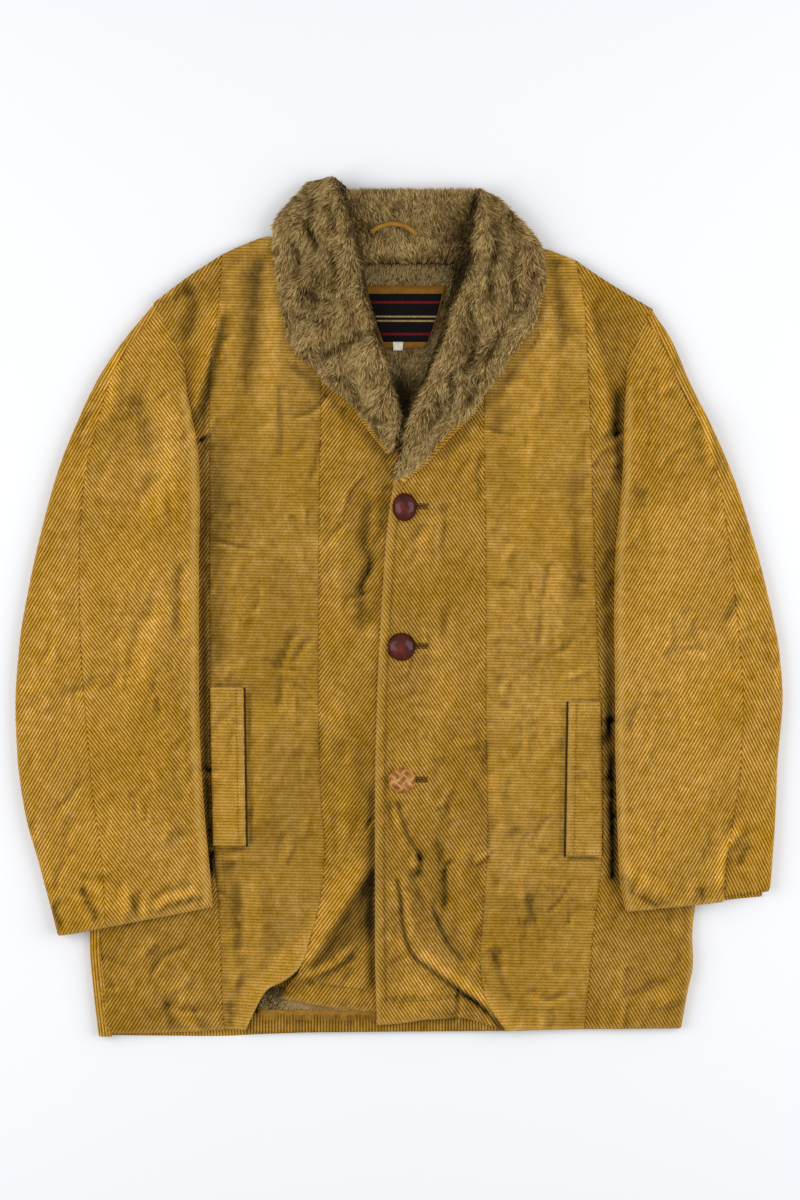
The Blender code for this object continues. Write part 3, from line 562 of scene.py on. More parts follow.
def sew(name, patches, finish):
    """One mesh object from patches, named after what it dresses and pressed flat where it meets the table"""
    name += "_shell"
    starts = np.cumsum([0] + [len(patch.points) for patch in patches])
    faces = [[corner + start for corner in face]
             for patch, start in zip(patches, starts.tolist()) for face in patch.faces]
    mesh = bpy.data.meshes.new(name)
    points = np.vstack([patch.points for patch in patches])
    points[:, 2] = np.maximum(points[:, 2], 0.0)
    mesh.from_pydata(points.tolist(), [], faces)
    corner = np.empty(len(mesh.loops), int)
    mesh.loops.foreach_get("vertex_index", corner)
    wales = mesh.uv_layers.new(name="wales")
    wales.data.foreach_set("uv", np.vstack([patch.uv for patch in patches])[corner].ravel())
    for key in ("wear", "nap"):
        values = np.concatenate([getattr(patch, key) for patch in patches])
        mesh.attributes.new(key, "FLOAT", "POINT").data.foreach_set("value", values)
    mesh.shade_smooth()
    mesh.materials.append(finish)
    return link(name, mesh)


def area_of(outline):
    """Flat area inside an outline, in square metres"""
    x, y = outline.T
    return abs(np.dot(x, np.roll(y, -1)) - np.dot(y, np.roll(x, -1))) / 2 * MM ** 2


def wear_on(piece, slot, *nodes):
    """Set a finished piece on the coat in place of its solids"""
    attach(piece, "root")
    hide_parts(*nodes)


def declare(piece, outline):
    """Print a cloth piece's face count and the width and length of its cut"""
    wide, tall = np.ptp(outline, axis=0) * MM
    max(area_of(outline), 0.301 * wide * tall)
    print(piece.name, "faces", len(piece.data.polygons), "cut", round(wide, 3), round(tall, 3))


# %% [markdown]
# ## The fronts
#
# Each front is three panels: the side and centre on the bias, the middle with its wales level. The
# seams are lines of a few points each. The left front laps over the right by one thickness of
# cloth. The folds are placed from the way the coat lies: each is a soft ridge, or with a
# negative height a trough, along a line, and no two are alike in length, width or height. Short
# creases drawn with a fixed seed fill in between. A second list adds painted shade and light alone,
# with no height: painted shade at seams, at the foot of a fold, in the gaps beside the sleeves and
# welts and along the front edge, and painted light along the shoulders and on rolled edges.

# %% Seams and edges of the fronts
BACK_TOP = 5.0
FRONT_TOP = 10.3
FRONT_DEPTH = 4.2
LAP_RISE = 5.3
RIGHT_OUTER = [(153, 303), (167, 334), (182, 366), (184, 394), (174, 420), (150, 436), (120, 447),
               (108, 470), (103, 560), (99, 700), (96.5, 850), (95.5, 945), (98.5, 985), (105, 1034)]
RIGHT_SIDE_SEAM = [(222, 254), (217, 318), (212, 352), (209, 390), (209, 548), (209.5, 687),
                   (212.5, 846), (218, 905), (221, 960), (222, 1000), (224, 1030)]
RIGHT_CENTRE_SEAM = [(331, 237), (324, 300), (321, 382), (319, 548), (318.5, 700), (321, 800),
                     (325, 850), (321, 895), (312, 935), (303, 963), (284, 981), (268, 989),
                     (256, 1008), (246, 1030)]
RIGHT_CENTRE_OUTER = [*RIGHT_CENTRE_SEAM[:10], (296, 976), (286, 988), (280, 999)]
RIGHT_FRONT_EDGE = [(352, 262), (363, 300), (374, 340), (388, 385), (395, 425), (401, 456),
                    (412, 482), (422, 512), (428, 560), (428, 700), (428, 860), (426, 960), (421, 1008)]
LEFT_FRONT_EDGE = [(474, 262), (462, 300), (448, 340), (432, 372), (416, 405), (407, 432),
                   (401, 458), (394, 482), (387, 530), (382, 600), (377, 700), (375, 800),
                   (375, 860), (375, 950), (377, 1025)]
LEFT_CENTRE_SEAM = [(486, 237), (485, 320), (484, 414), (486, 560), (486, 700), (488, 840),
                    (484, 900), (480, 961), (482, 985), (491, 1010), (506, 1031)]
LEFT_SIDE_SEAM = [(576, 260), (584, 300), (589, 379), (594, 532), (600, 690), (603, 780),
                  (602, 857), (597, 905), (592, 945), (590, 975), (587, 1005), (585, 1030)]
LEFT_OUTER = [(653, 309), (642, 337), (631, 364), (627, 392), (635, 416), (655, 434), (680, 446),
              (692, 470), (694, 560), (694, 700), (694, 850), (695, 905), (692, 935), (693, 965),
              (688, 990), (681, 1029)]


def outline_of(left, right, top=(), bottom=()):
    """Closed outline of a panel between two seams"""
    down = smooth(left)
    up = smooth(right)[::-1]
    hem = smooth([left[-1], *bottom, right[-1]])[1:-1]
    neck = smooth([right[0], *reversed(top), left[0]])[1:-1]
    return np.vstack([down, hem, up, neck])


# %% Folds of the fronts
FRONT_FOLDS = [
    Fold([(372, 858), (340, 908), (305, 962), (280, 980), (262, 1000), (243, 1056)], 3.0, 8.5, 12),
    Fold([(374, 905), (350, 950), (320, 985)], -3.2, -2.4, 15),
    Fold([(297, 982), (335, 966), (356, 946)], 2.2, 1.4, 5),
    Fold([(340, 990), (362, 966)], -1.8, -1.2, 6),
    Fold([(180, 284), (196, 308), (186, 350)], -3.4, -2.6, 7),
    Fold([(224, 300), (206, 370), (190, 424)], 3.6, 4.4, 7),
    Fold([(262, 250), (259, 330), (250, 410)], -3.2, -1.4, 10),
    Fold([(236, 262), (238, 330), (232, 420)], 1.4, 1.6, 9),
    Fold([(276, 300), (277, 390), (270, 470)], 2.6, 1.2, 11),
    Fold([(281, 384), (284, 462)], -1.5, -1.2, 4),
    Fold([(224, 430), (222, 560), (226, 680)], -2.0, -2.4, 11),
    Fold([(275, 676), (299, 626)], -1.5, -1.3, 5),
    Fold([(291, 668), (311, 636)], -1.3, -1.4, 4),
    Fold([(285, 652), (280, 716)], -1.4, -1.6, 5),
    Fold([(268, 700), (262, 770), (268, 840)], 1.8, 1.4, 12),
    Fold([(296, 746), (304, 772)], -1.7, -1.2, 5),
    Fold([(226, 858), (241, 894), (242, 958)], -2.6, -2.2, 6),
    Fold([(253, 870), (262, 930), (256, 984)], 1.8, 1.8, 9),
    Fold([(231, 930), (238, 990)], 1.5, 1.2, 5),
    Fold([(166, 1000), (180, 1044)], -1.7, -2.2, 4),
    Fold([(230, 1000), (241, 1042)], -1.9, -2.2, 4),
    Fold([(186, 990), (204, 1048)], 1.4, 1.8, 6),
    Fold([(130, 940), (150, 990), (142, 1030)], 1.2, 1.0, 12),
    Fold([(372, 500), (366, 546), (372, 564), (362, 592), (368, 640)], -2.4, -2.2, 6),
    Fold([(347, 470), (339, 560), (346, 660)], 1.4, 1.2, 12),
    Fold([(320, 552), (348, 520)], -1.1, -0.9, 4),
    Fold([(333, 700), (352, 760), (349, 830)], 1.5, 2.0, 10),
    Fold([(555, 255), (564, 300), (571, 350)], -3.2, -2.2, 6),
    Fold([(582, 292), (598, 350), (607, 400), (609, 446)], 3.6, 3.4, 8),
    Fold([(545, 270), (552, 330), (556, 420)], 1.8, 1.2, 9),
    Fold([(514, 366), (521, 394)], -2.0, -1.6, 8),
    Fold([(503, 406), (499, 450)], -2.0, -1.5, 8),
    Fold([(530, 400), (534, 480), (526, 560)], 1.8, 1.0, 12),
    Fold([(576, 470), (580, 540), (584, 612)], -1.8, -2.2, 8),
    Fold([(552, 560), (544, 604), (541, 648)], -1.4, -1.2, 4),
    Fold([(560, 572), (564, 630)], 1.2, 1.0, 5),
    Fold([(494, 772), (500, 800), (508, 840)], 1.7, 1.2, 5),
    Fold([(487, 740), (496, 790)], -1.3, -1.0, 4),
    Fold([(528, 892), (541, 930)], -1.5, -1.4, 5),
    Fold([(521, 866), (526, 926)], 1.3, 1.2, 5),
    Fold([(498, 946), (505, 978)], -2.6, -2.0, 5),
    Fold([(528, 988), (548, 1002), (568, 994)], -1.4, -1.2, 4),
    Fold([(537, 990), (549, 1044)], 1.4, 1.8, 5),
    Fold([(654, 1010), (688, 992)], 1.7, 1.4, 6),
    Fold([(640, 996), (672, 982)], -1.5, -1.2, 5),
    Fold([(670, 912), (676, 934)], -1.6, -1.2, 5),
    Fold([(428, 522), (412, 550)], -2.2, -1.6, 5),
    Fold([(437, 516), (424, 556)], 1.2, 1.2, 6),
    Fold([(430, 590), (446, 650), (452, 740)], 1.4, 1.6, 14),
    Fold([(390, 800), (396, 826), (410, 848), (414, 868)], -2.2, -1.6, 4),
    Fold([(402, 806), (411, 836), (423, 862)], 2.4, 2.0, 6),
    Fold([(438, 834), (447, 884), (449, 918)], -1.6, -1.2, 6),
    Fold([(513, 826), (530, 846), (547, 863)], -1.4, -1.2, 5),
    Fold([(395, 872), (405, 902), (411, 950), (440, 978), (472, 997), (524, 1050)], 2.8, 7.0, 9),
    Fold([(398, 905), (403, 945)], -2.0, -2.2, 5),
    Fold([(413, 868), (426, 905), (438, 926), (463, 955), (480, 968)], -2.4, -1.8, 5),
    Fold([(400, 975), (440, 1004), (478, 1018)], 3.0, 4.2, 15),
    Fold([(462, 840), (470, 900), (474, 950)], 1.6, 1.2, 9),
]
RIGHT_LOWEST = 7.2
LAP_FULL_X, LAP_END_X = 432.0, 458.0
LAP_START_Y, LAP_FULL_Y = 412.0, 446.0


def waves(seed, shortest, longest, count=14):
    """A field of crossing waves of many lengths and directions, about one high"""
    dice = np.random.default_rng(seed)
    turn = dice.uniform(0.0, 2 * np.pi, count)
    pace = 2 * np.pi / dice.uniform(shortest, longest, count)
    start = dice.uniform(0.0, 2 * np.pi, count)
    steps = np.column_stack([pace * np.cos(turn), pace * np.sin(turn)])

    def field(flat):
        return np.sin(flat @ steps.T + start).sum(axis=1) * math.sqrt(2.0 / count)

    return field


def small_creases(seed, count):
    """Short creases over the whole coat, mostly up and down, no two alike"""
    dice = np.random.default_rng(seed)
    folds = []
    for made in range(count):
        middle = dice.uniform((15, 260), (785, 1035))
        turn = math.radians(dice.normal(80, 38))
        along = np.array((math.cos(turn), math.sin(turn))) * dice.uniform(9, 26)
        bend = np.array((-along[1], along[0])) * dice.uniform(-0.35, 0.35)
        height = dice.choice((-1.0, -1.0, 1.0)) * dice.uniform(0.5, 1.5)
        path = [middle - along, middle + bend, middle + along]
        folds.append(Fold(path, height, height, dice.uniform(2.4, 5.5)))
    return folds


SMALL_CREASES = small_creases(29, 460)
swell, pinch = waves(3, 60, 140), waves(13, 9, 22)


def unevenness(flat):
    """The waviness of cloth that nobody has pressed"""
    return along_folds(flat, SMALL_CREASES) + 0.5 * swell(flat) + 0.12 * pinch(flat * (1.0, 0.6))


def front_crumple(flat):
    return along_folds(flat, FRONT_FOLDS) + unevenness(flat)


def front_slopes(flat):
    """The same, with the folds made stronger, for the painted light and shade of their slopes"""
    return FOLD_SHADE * along_folds(flat, FRONT_FOLDS) + unevenness(flat)


def right_height(flat):
    """Top of the right front, which sinks under the lap of the left one towards the hem"""
    x, y = flat.T
    sink = 4.6 * ease(330, 372, x) * ease(770, 880, y)
    return np.maximum(FRONT_TOP + front_crumple(flat) - sink, RIGHT_LOWEST)


def left_height(flat):
    """Top of the left front, lifted where the right one lies under it"""
    x, y = flat.T
    lap = LAP_RISE * (1.0 - ease(LAP_FULL_X, LAP_END_X, x)) * ease(LAP_START_Y, LAP_FULL_Y, y)
    return FRONT_TOP + front_crumple(flat) + lap


def on_right(flat, rise):
    return metres(flat, right_height(flat) + rise)


def on_left(flat, rise):
    return metres(flat, left_height(flat) + rise)


# %% Cut and lay the fronts
MIDDLE_PACE = 3.4
# Soft patches added to the painted light and shade of the fronts: painted shade beside the sleeves, along the
# front edge and in hollows, painted light on the shoulders and ridges, and a few darker patches of crushed
# pile.
SPOTS = [
    Spot(366, 556, 16, 34, -0.10), Spot(362, 482, 20, 18, -0.18), Spot(352, 780, 22, 60, -0.10),
    Spot(352, 950, 20, 40, -0.10), Spot(432, 618, 22, 16, -0.14), Spot(452, 880, 22, 60, -0.10),
    Spot(436, 548, 26, 30, 0.08), Spot(230, 520, 14, 90, -0.16), Spot(285, 420, 22, 90, 0.10),
    Spot(300, 640, 30, 60, 0.06), Spot(502, 420, 14, 34, -0.18), Spot(536, 440, 26, 70, 0.10),
    Spot(584, 540, 10, 80, -0.16), Spot(540, 880, 34, 70, -0.08), Spot(610, 960, 40, 50, 0.05),
    Spot(300, 300, 26, 40, 0.08), Spot(256, 300, 10, 60, -0.16), Spot(160, 990, 50, 40, 0.03),
    Spot(430, 900, 60, 120, -0.07), Spot(530, 930, 50, 90, -0.06),
    Spot(560, 300, 12, 40, -0.10), Spot(425, 760, 20, 50, 0.05), Spot(470, 520, 14, 60, 0.06),
]
# Painted shade and light added to the tone alone: painted shade in the gaps beside the sleeves and welts,
# along the front edge, at the armholes, at the foot of folds and along seams and stitching; painted light
# along the shoulders, on the ridges of folds and on rolled edges.
FRONT_PAINTED_SHADES = [
    Fold([(205, 430), (204, 560), (205, 690), (207, 780), (212, 884)], -0.25, -0.85, 5),
    Fold([(618, 384), (617, 490)], -0.55, -0.45, 5),
    Fold([(607, 480), (607, 600), (609, 690), (611, 780), (613, 890)], -0.25, -0.85, 6),
    Fold([(371, 780), (371, 900), (372, 992)], -0.45, -0.60, 4.5),
    Fold([(376, 510), (372, 636)], -0.16, -0.20, 7),
    Fold([(373, 516), (366, 546), (372, 564), (362, 588), (370, 626)], -0.30, -0.36, 4),
    Fold([(146, 302), (190, 274), (240, 250), (284, 234)], 0.12, 0.12, 9),
    Fold([(532, 244), (576, 262), (623, 291), (660, 312)], 0.10, 0.10, 9),
    Fold([(388, 478), (382, 540)], -0.30, -0.25, 6),
    Fold([(268, 988), (288, 1001)], -0.60, -0.50, 7),
    Fold([(377, 862), (362, 890), (346, 914)], -0.38, -0.18, 6),
    Fold([(352, 908), (331, 946), (310, 972)], -0.22, -0.26, 3.5),
    Fold([(370, 868), (366, 905), (370, 950)], -0.35, -0.30, 7),
    Fold([(361, 954), (340, 967), (316, 977)], -0.28, -0.16, 2.5),
    Fold([(369, 936), (345, 961)], -0.22, -0.16, 2.5),
    Fold([(306, 982), (340, 988), (371, 992)], -0.26, -0.26, 1.6),
    Fold([(381, 1000), (430, 996), (466, 996), (480, 1004)], -0.40, -0.34, 2.0),
    Fold([(386, 1011), (450, 1008)], 0.16, 0.14, 7),
    Fold([(394, 1010), (408, 1002)], -0.22, -0.20, 2.5),
    Fold([(430, 1014), (455, 1003)], -0.22, -0.20, 2.5),
    Fold([(397, 798), (404, 825), (411, 842), (420, 858), (418, 880)], -0.65, -0.50, 3.0),
    Fold([(392, 806), (398, 832), (405, 850), (412, 868)], 0.20, 0.16, 3.5),
    Fold([(396, 874), (400, 897), (402, 920), (411, 952), (432, 970), (455, 987), (482, 1007),
          (506, 1034)], -0.78, -0.90, 3.0),
    Fold([(403, 884), (408, 910), (417, 940), (437, 963), (462, 981), (488, 1003)], 0.20, 0.20, 3.5),
    Fold([(430, 900), (440, 927), (447, 942), (466, 964)], -0.55, -0.45, 2.8),
    Fold([(409, 950), (396, 958), (384, 970), (379, 988)], -0.30, -0.22, 2.8),
    Fold([(470, 776), (480, 795), (486, 814)], -0.26, -0.22, 2.8),
    Fold([(528, 890), (535, 920), (541, 946)], -0.20, -0.16, 2.8),
    Fold([(441, 842), (446, 888), (442, 916)], -0.30, -0.26, 3.2),
    Fold([(160, 992), (182, 1036)], -0.20, -0.32, 3),
    Fold([(186, 998), (208, 1038)], -0.18, -0.28, 3),
    Fold([(240, 1004), (222, 1036)], -0.24, -0.28, 3),
    Fold([(178, 1004), (191, 1029)], 0.14, 0.18, 4),
    Fold([(212, 1008), (216, 1029)], 0.14, 0.16, 5),
    Fold([(178, 280), (198, 308), (186, 362)], -0.20, -0.20, 4),
    Fold([(224, 310), (209, 386), (200, 446)], -0.08, -0.42, 4),
    Fold([(550, 240), (565, 295), (575, 352)], -0.16, -0.16, 5),
    Fold([(401, 492), (396.5, 530), (391.5, 600), (386.5, 700), (384.5, 860), (386, 1000)],
         -0.20, -0.20, 1.6),
    Fold([(396, 492), (391, 540), (386, 610), (381, 700), (379.5, 860), (380, 1000)], 0.12, 0.12, 3),
    Fold([(490, 946), (501, 976), (513, 1006)], -0.30, -0.22, 3.5),
    Fold([(248.4, 690), (250.6, 847)], -0.45, -0.45, 2.6),
    Fold([(211, 685), (245, 685)], -0.35, -0.35, 2.2),
    Fold([(213, 848.6), (248, 848.6)], -0.50, -0.50, 2.4),
    Fold([(564, 702), (561.5, 857)], -0.35, -0.35, 2.4),
    Fold([(567, 700), (601, 700)], -0.35, -0.35, 2.2),
    Fold([(565, 858.6), (602, 858.6)], -0.50, -0.50, 2.4),
    Fold([(284, 360), (300, 372), (330, 398), (366, 436), (392, 462)], -0.35, -0.40, 5),
    Fold([(548, 290), (532, 340), (500, 388), (470, 426), (436, 462)], -0.35, -0.40, 5),
]
Panel = namedtuple("Panel", "name left right top bottom lean pace relief tone finish place worn")
FRONT_PANELS = [
    Panel("right_front_side", RIGHT_OUTER, RIGHT_SIDE_SEAM, [(187, 277)], [(160, 1033.5)],
          -58, PACE, 1.0, -0.22, ochre, on_right, [[(112, 1036), (160, 1033.5), (224, 1030)]]),
    Panel("right_front_middle", RIGHT_SIDE_SEAM, RIGHT_CENTRE_SEAM, [(237, 247), (272, 236)], (),
          1, MIDDLE_PACE, 0.5, -0.20, smooth_ochre, on_right,
          [RIGHT_CENTRE_SEAM[-6:], [(224, 1030), (246, 1030)]]),
    Panel("right_front_centre", RIGHT_CENTRE_OUTER, RIGHT_FRONT_EDGE, (),
          [(300, 1003), (345, 1010), (372, 1013)],
          -54, PACE, 1.0, -0.14, ochre, on_right, [[(280, 999), (300, 1003), (345, 1010), (372, 1013)]]),
    Panel("left_front_centre", LEFT_FRONT_EDGE, LEFT_CENTRE_SEAM, (),
          [(400, 1023), (428, 1019), (456, 1018), (480, 1023)],
          56, PACE, 1.0, -0.17, ochre, on_left, [LEFT_FRONT_EDGE, [(377, 1025), (428, 1019), (480, 1023)]]),
    Panel("left_front_middle", LEFT_CENTRE_SEAM, LEFT_SIDE_SEAM, [(541, 247)], (),
          1, MIDDLE_PACE, 0.5, -0.09, smooth_ochre, on_left, [[(506, 1031), (585, 1030)]]),
    Panel("left_front_side", LEFT_SIDE_SEAM, LEFT_OUTER, [(599, 276), (623, 291)], (),
          59, PACE, 1.0, -0.22, ochre, on_left, [[(585, 1030), (681, 1029)], LEFT_OUTER[-6:]]),
]
fronts = {}
for panel in FRONT_PANELS:
    outline = outline_of(panel.left, panel.right, panel.top, panel.bottom)
    patch = cut_panel(outline, panel.lean, panel.place, FRONT_DEPTH, front_slopes, panel.pace,
                      panel.relief, panel.worn, SPOTS, FRONT_PAINTED_SHADES, panel.tone)
    fronts[panel.name] = sew(panel.name, [patch], panel.finish)
    wear_on(fronts[panel.name], "corduroy", panel.name)
    declare(fronts[panel.name], outline)

# %% [markdown]
# ## The back
#
# The back lies under everything. It shows only at its right side, where it is turned up over the
# front in a narrow roll, and from below. One strip is carried round that roll: over the top, round
# the edge and then flat across the table to the other side. Its wales run straight down the coat.

# %% Back, rolled over at its right side
BACK_RIGHT = [(154, 302), (168, 332.5), (183, 364.5), (183, 386), (168, 405), (143, 419), (115, 435),
              (106, 470), (101, 560), (96, 700), (92, 850), (89, 945), (92, 985), (98, 1037)]
BACK_NECK = [(187, 276.5), (222, 254.5), (272, 235), (335, 240), (354, 264), (413, 267),
             (472, 264), (488, 240), (541, 247), (576, 261), (623, 291)]
BACK_HEM = [(210, 1038), (260, 1036), (335, 1033.5), (385, 1032.5), (435, 1032.5), (510, 1033),
            (560, 1031)]
ROLL_RADIUS = 5.15
ROLL_START_Y = 470.0
ROLL_WIDTHS = [(470, 0.6), (560, 0.9), (700, 2.2), (850, 4.0), (945, 6.0), (1037, 8.5)]
BACK_ROWS = 90
LIP_COLUMNS, ROLL_COLUMNS, BACK_COLUMNS = 12, 22, 36


def blended(left, right, top, bottom, u, v):
    """Places on a plan stretched between four edges"""
    def along(line, shares):
        marks = lengths(np.asarray(line, float))
        return steady(marks, line, shares * marks[-1])

    above, below = [left[0], *top, right[0]], [left[-1], *bottom, right[-1]]
    a, b, c, d = (np.asarray(corner, float) for corner in (left[0], right[0], left[-1], right[-1]))
    u, v = u[:, None], v[:, None]
    across = (1 - u) * along(left, v[:, 0]) + u * along(right, v[:, 0])
    down = (1 - v) * along(above, u[:, 0]) + v * along(below, u[:, 0])
    return across + down - (1 - u) * ((1 - v) * a + v * c) - u * ((1 - v) * b + v * d)


def grid_faces(rows, columns, flip=False):
    """Squares of a grid of points stored row after row"""
    faces = []
    for row in range(rows - 1):
        for column in range(columns - 1):
            first = row * columns + column
            face = (first, first + columns, first + columns + 1, first + 1)
            faces.append(face[::-1] if flip else face)
    return faces


def rolled_back():
    v = np.linspace(0.0, 1.0, BACK_ROWS)
    edge = blended(BACK_RIGHT, LEFT_OUTER, BACK_NECK, BACK_HEM, np.zeros(BACK_ROWS), v)
    widths = steady([row[0] for row in ROLL_WIDTHS], [row[1:] for row in ROLL_WIDTHS],
                    np.clip(edge[:, 1], ROLL_START_Y, 1037.0))[:, 0]
    rolled = ease(ROLL_START_Y - 12, ROLL_START_Y + 12, edge[:, 1])
    columns, counts = [], []
    for share in np.linspace(0.0, 1.0, LIP_COLUMNS, endpoint=False):
        x = edge[:, 0] + ROLL_RADIUS + widths * (1 - share)
        columns.append(np.column_stack([x, edge[:, 1], np.full(BACK_ROWS, 2 * ROLL_RADIUS)]))
        counts.append(-widths * (1 - share) - math.pi * ROLL_RADIUS)
    for angle in np.linspace(0.0, math.pi, ROLL_COLUMNS):
        x = edge[:, 0] + ROLL_RADIUS * (1 - math.sin(angle))
        z = np.full(BACK_ROWS, ROLL_RADIUS * (1 + math.cos(angle)))
        columns.append(np.column_stack([x, edge[:, 1], z]))
        counts.append(np.full(BACK_ROWS, (angle - math.pi) * ROLL_RADIUS))
    for share in np.linspace(0.0, 1.0, BACK_COLUMNS + 1)[1:]:
        flat = blended(BACK_RIGHT, LEFT_OUTER, BACK_NECK, BACK_HEM, np.full(BACK_ROWS, share), v)
        flat[:, 0] += ROLL_RADIUS * (1 - share)
        columns.append(np.column_stack([flat, np.zeros(BACK_ROWS)]))
        counts.append(flat[:, 0] - edge[:, 0] - ROLL_RADIUS)
    columns.append(columns[-1] + (1.2, 0.0, 2.5))
    columns.append(columns[-2] + (0.0, 0.0, BACK_TOP))
    counts += [counts[-1] + 2.5, counts[-1] + 5.0]
    spots = np.stack(columns, axis=1)
    flat_height = np.minimum(spots[..., 2], BACK_TOP)
    spots[..., 2] = flat_height + (spots[..., 2] - flat_height) * rolled[:, None]
    count = np.stack(counts, axis=1) / WALE
    curve = np.arange(len(columns)) < LIP_COLUMNS + ROLL_COLUMNS
    wale = WALE_RISE * 0.7 * (2 * np.abs(np.sin(np.pi * count)) ** 0.8 - 1) * curve
    spots[..., 2] += np.clip(wale, -0.4, None) * (spots[..., 2] > ROLL_RADIUS)
    places = spots.reshape(-1, 3)
    uv = np.column_stack([count.ravel(), np.repeat(edge[:, 1], len(columns)) / WALE])
    return Patch(metres(places[:, :2], places[:, 2]), grid_faces(BACK_ROWS, len(columns), True), uv,
                 np.zeros(len(places)), np.zeros(len(places)))


back = sew("back", [rolled_back()], ochre)
wear_on(back, "corduroy", "back")
declare(back, outline_of(BACK_RIGHT, LEFT_OUTER, BACK_NECK, BACK_HEM))

# %% [markdown]
# ## The sleeves
#
# A sleeve lies as a flattened tube, half on the body and half on the table. Its two cut pieces are
# ruled while flat, as the panels are, and then wrapped: a table of sections says where each row of
# the sleeve starts and ends, how thick the flat tube is and how far it is lifted by the body under
# it. A place past the edge of a section runs on round the edge and underneath.

# %% Sections and folds of the sleeves
SleeveRow = namedtuple("SleeveRow", "inner_x inner_y outer_x outer_y seam lie lift half")
SLEEVE_RIGHT = [
    SleeveRow(185, 364.5, 154.5, 302.5, 0.88, 0, 0.0, 5.7),
    SleeveRow(187, 391, 122, 342, 0.90, 20, 10.6, 6.0),
    SleeveRow(193, 422, 98, 378, 0.88, 34, 10.6, 6.5),
    SleeveRow(199, 462, 77, 422, 0.836, 82, 10.6, 6.8),
    SleeveRow(200, 510, 58, 470, 0.803, 103, 10.6, 6.8),
    SleeveRow(199, 560, 43, 523, 0.756, 103, 10.6, 6.8),
    SleeveRow(199, 620, 29, 585, 0.697, 105, 10.6, 6.8),
    SleeveRow(199, 680, 19, 645, 0.646, 108, 10.6, 6.8),
    SleeveRow(200, 735, 15, 705, 0.610, 111, 10.6, 6.8),
    SleeveRow(202.5, 785, 17, 757, 0.596, 115, 10.6, 6.8),
    SleeveRow(206, 830, 25, 815, 0.596, 119, 10.6, 6.8),
    SleeveRow(210, 870, 38, 862, 0.618, 123, 10.6, 6.8),
    SleeveRow(213, 906, 58, 936, 0.684, 130, 10.6, 6.8),
]
SLEEVE_LEFT = [
    SleeveRow(627.4, 362.2, 651, 308, 0.80, 0, 0.0, 5.7),
    SleeveRow(625.5, 388, 672, 340, 0.84, 16, 10.6, 6.0),
    SleeveRow(624, 420, 689, 380, 0.86, 30, 10.6, 6.5),
    SleeveRow(623, 462, 710, 423, 0.88, 70, 10.6, 6.8),
    SleeveRow(620, 505, 731, 470, 0.87, 80, 10.6, 6.8),
    SleeveRow(615, 560, 750, 527, 0.83, 85, 10.6, 6.8),
    SleeveRow(614, 620, 767, 590, 0.79, 85, 10.6, 6.8),
    SleeveRow(615, 680, 780, 655, 0.764, 85, 10.6, 6.8),
    SleeveRow(615, 735, 783, 700, 0.763, 86, 10.6, 6.8),
    SleeveRow(616, 785, 778, 762, 0.768, 85, 10.6, 6.8),
    SleeveRow(617.5, 830, 776, 812, 0.730, 83, 10.6, 6.8),
    SleeveRow(619, 872, 773, 858, 0.695, 80, 10.6, 6.8),
    SleeveRow(625, 911, 770, 897, 0.676, 76, 10.6, 6.8),
]
SLEEVE_RIGHT_FOLDS = [
    Fold([(121, 350), (115, 392), (104, 436)], 2.8, 1.6, 8),
    Fold([(131, 388), (143, 412), (158, 468)], -2.8, -1.8, 9),
    Fold([(160, 470), (140, 506)], -1.6, -1.2, 7),
    Fold([(178, 400), (176, 470), (152, 540)], 2.0, 1.4, 12),
    Fold([(182, 560), (180, 640)], -2.0, -1.6, 6),
    Fold([(176, 590), (150, 660), (124, 740)], 1.4, 1.8, 15),
    Fold([(150, 600), (128, 690)], -1.4, -1.0, 8),
    Fold([(62, 560), (52, 640), (46, 720)], 1.2, 1.0, 14),
    Fold([(178, 846), (188, 826)], -1.9, -1.4, 7),
    Fold([(150, 760), (170, 800)], 1.2, 1.0, 10),
    Fold([(155, 909), (172, 900), (205, 893)], 1.9, 1.4, 4),
    Fold([(150, 902), (168, 892), (198, 884)], -1.7, -1.3, 4),
    Fold([(83, 886), (103, 923)], -2.8, -3.0, 3.4),
    Fold([(94, 882), (114, 921)], 2.0, 1.8, 6),
    Fold([(54, 903), (67, 932)], -2.4, -2.6, 4),
    Fold([(132, 880), (125, 922)], 1.7, 1.9, 7),
    Fold([(142, 886), (140, 916)], -1.2, -1.4, 4),
]
SLEEVE_LEFT_FOLDS = [
    Fold([(702, 404), (710, 440), (716, 472)], 2.6, 2.2, 4),
    Fold([(693, 420), (704, 474)], -1.6, -1.3, 6),
    Fold([(631, 482), (654, 524)], -2.0, -1.5, 8),
    Fold([(634, 420), (650, 500), (690, 560)], 1.9, 1.3, 13),
    Fold([(744, 594), (722, 630)], -1.8, -1.4, 6),
    Fold([(754, 612), (734, 652)], 1.4, 1.2, 7),
    Fold([(640, 610), (680, 690), (720, 760)], 1.4, 1.8, 16),
    Fold([(664, 640), (690, 700)], -1.2, -1.0, 8),
    Fold([(618, 873), (641, 899), (664, 909)], -2.6, -2.2, 3.6),
    Fold([(622, 860), (648, 886), (678, 898)], 2.0, 1.3, 6),
    Fold([(746, 824), (724, 856), (720, 894)], 2.4, 2.2, 5),
    Fold([(754, 840), (736, 874)], -1.8, -1.5, 6),
    Fold([(699, 884), (708, 906)], -2.2, -2.4, 3.6),
    Fold([(690, 878), (694, 904)], 1.3, 1.5, 5),
    Fold([(712, 840), (704, 872)], -1.2, -1.0, 6),
]
SLEEVE_DEPTH = 4.6
SLEEVE_SLOPE = 40.0
UNDER_TUCK = 14.0
SLEEVE_SAMPLES = 401

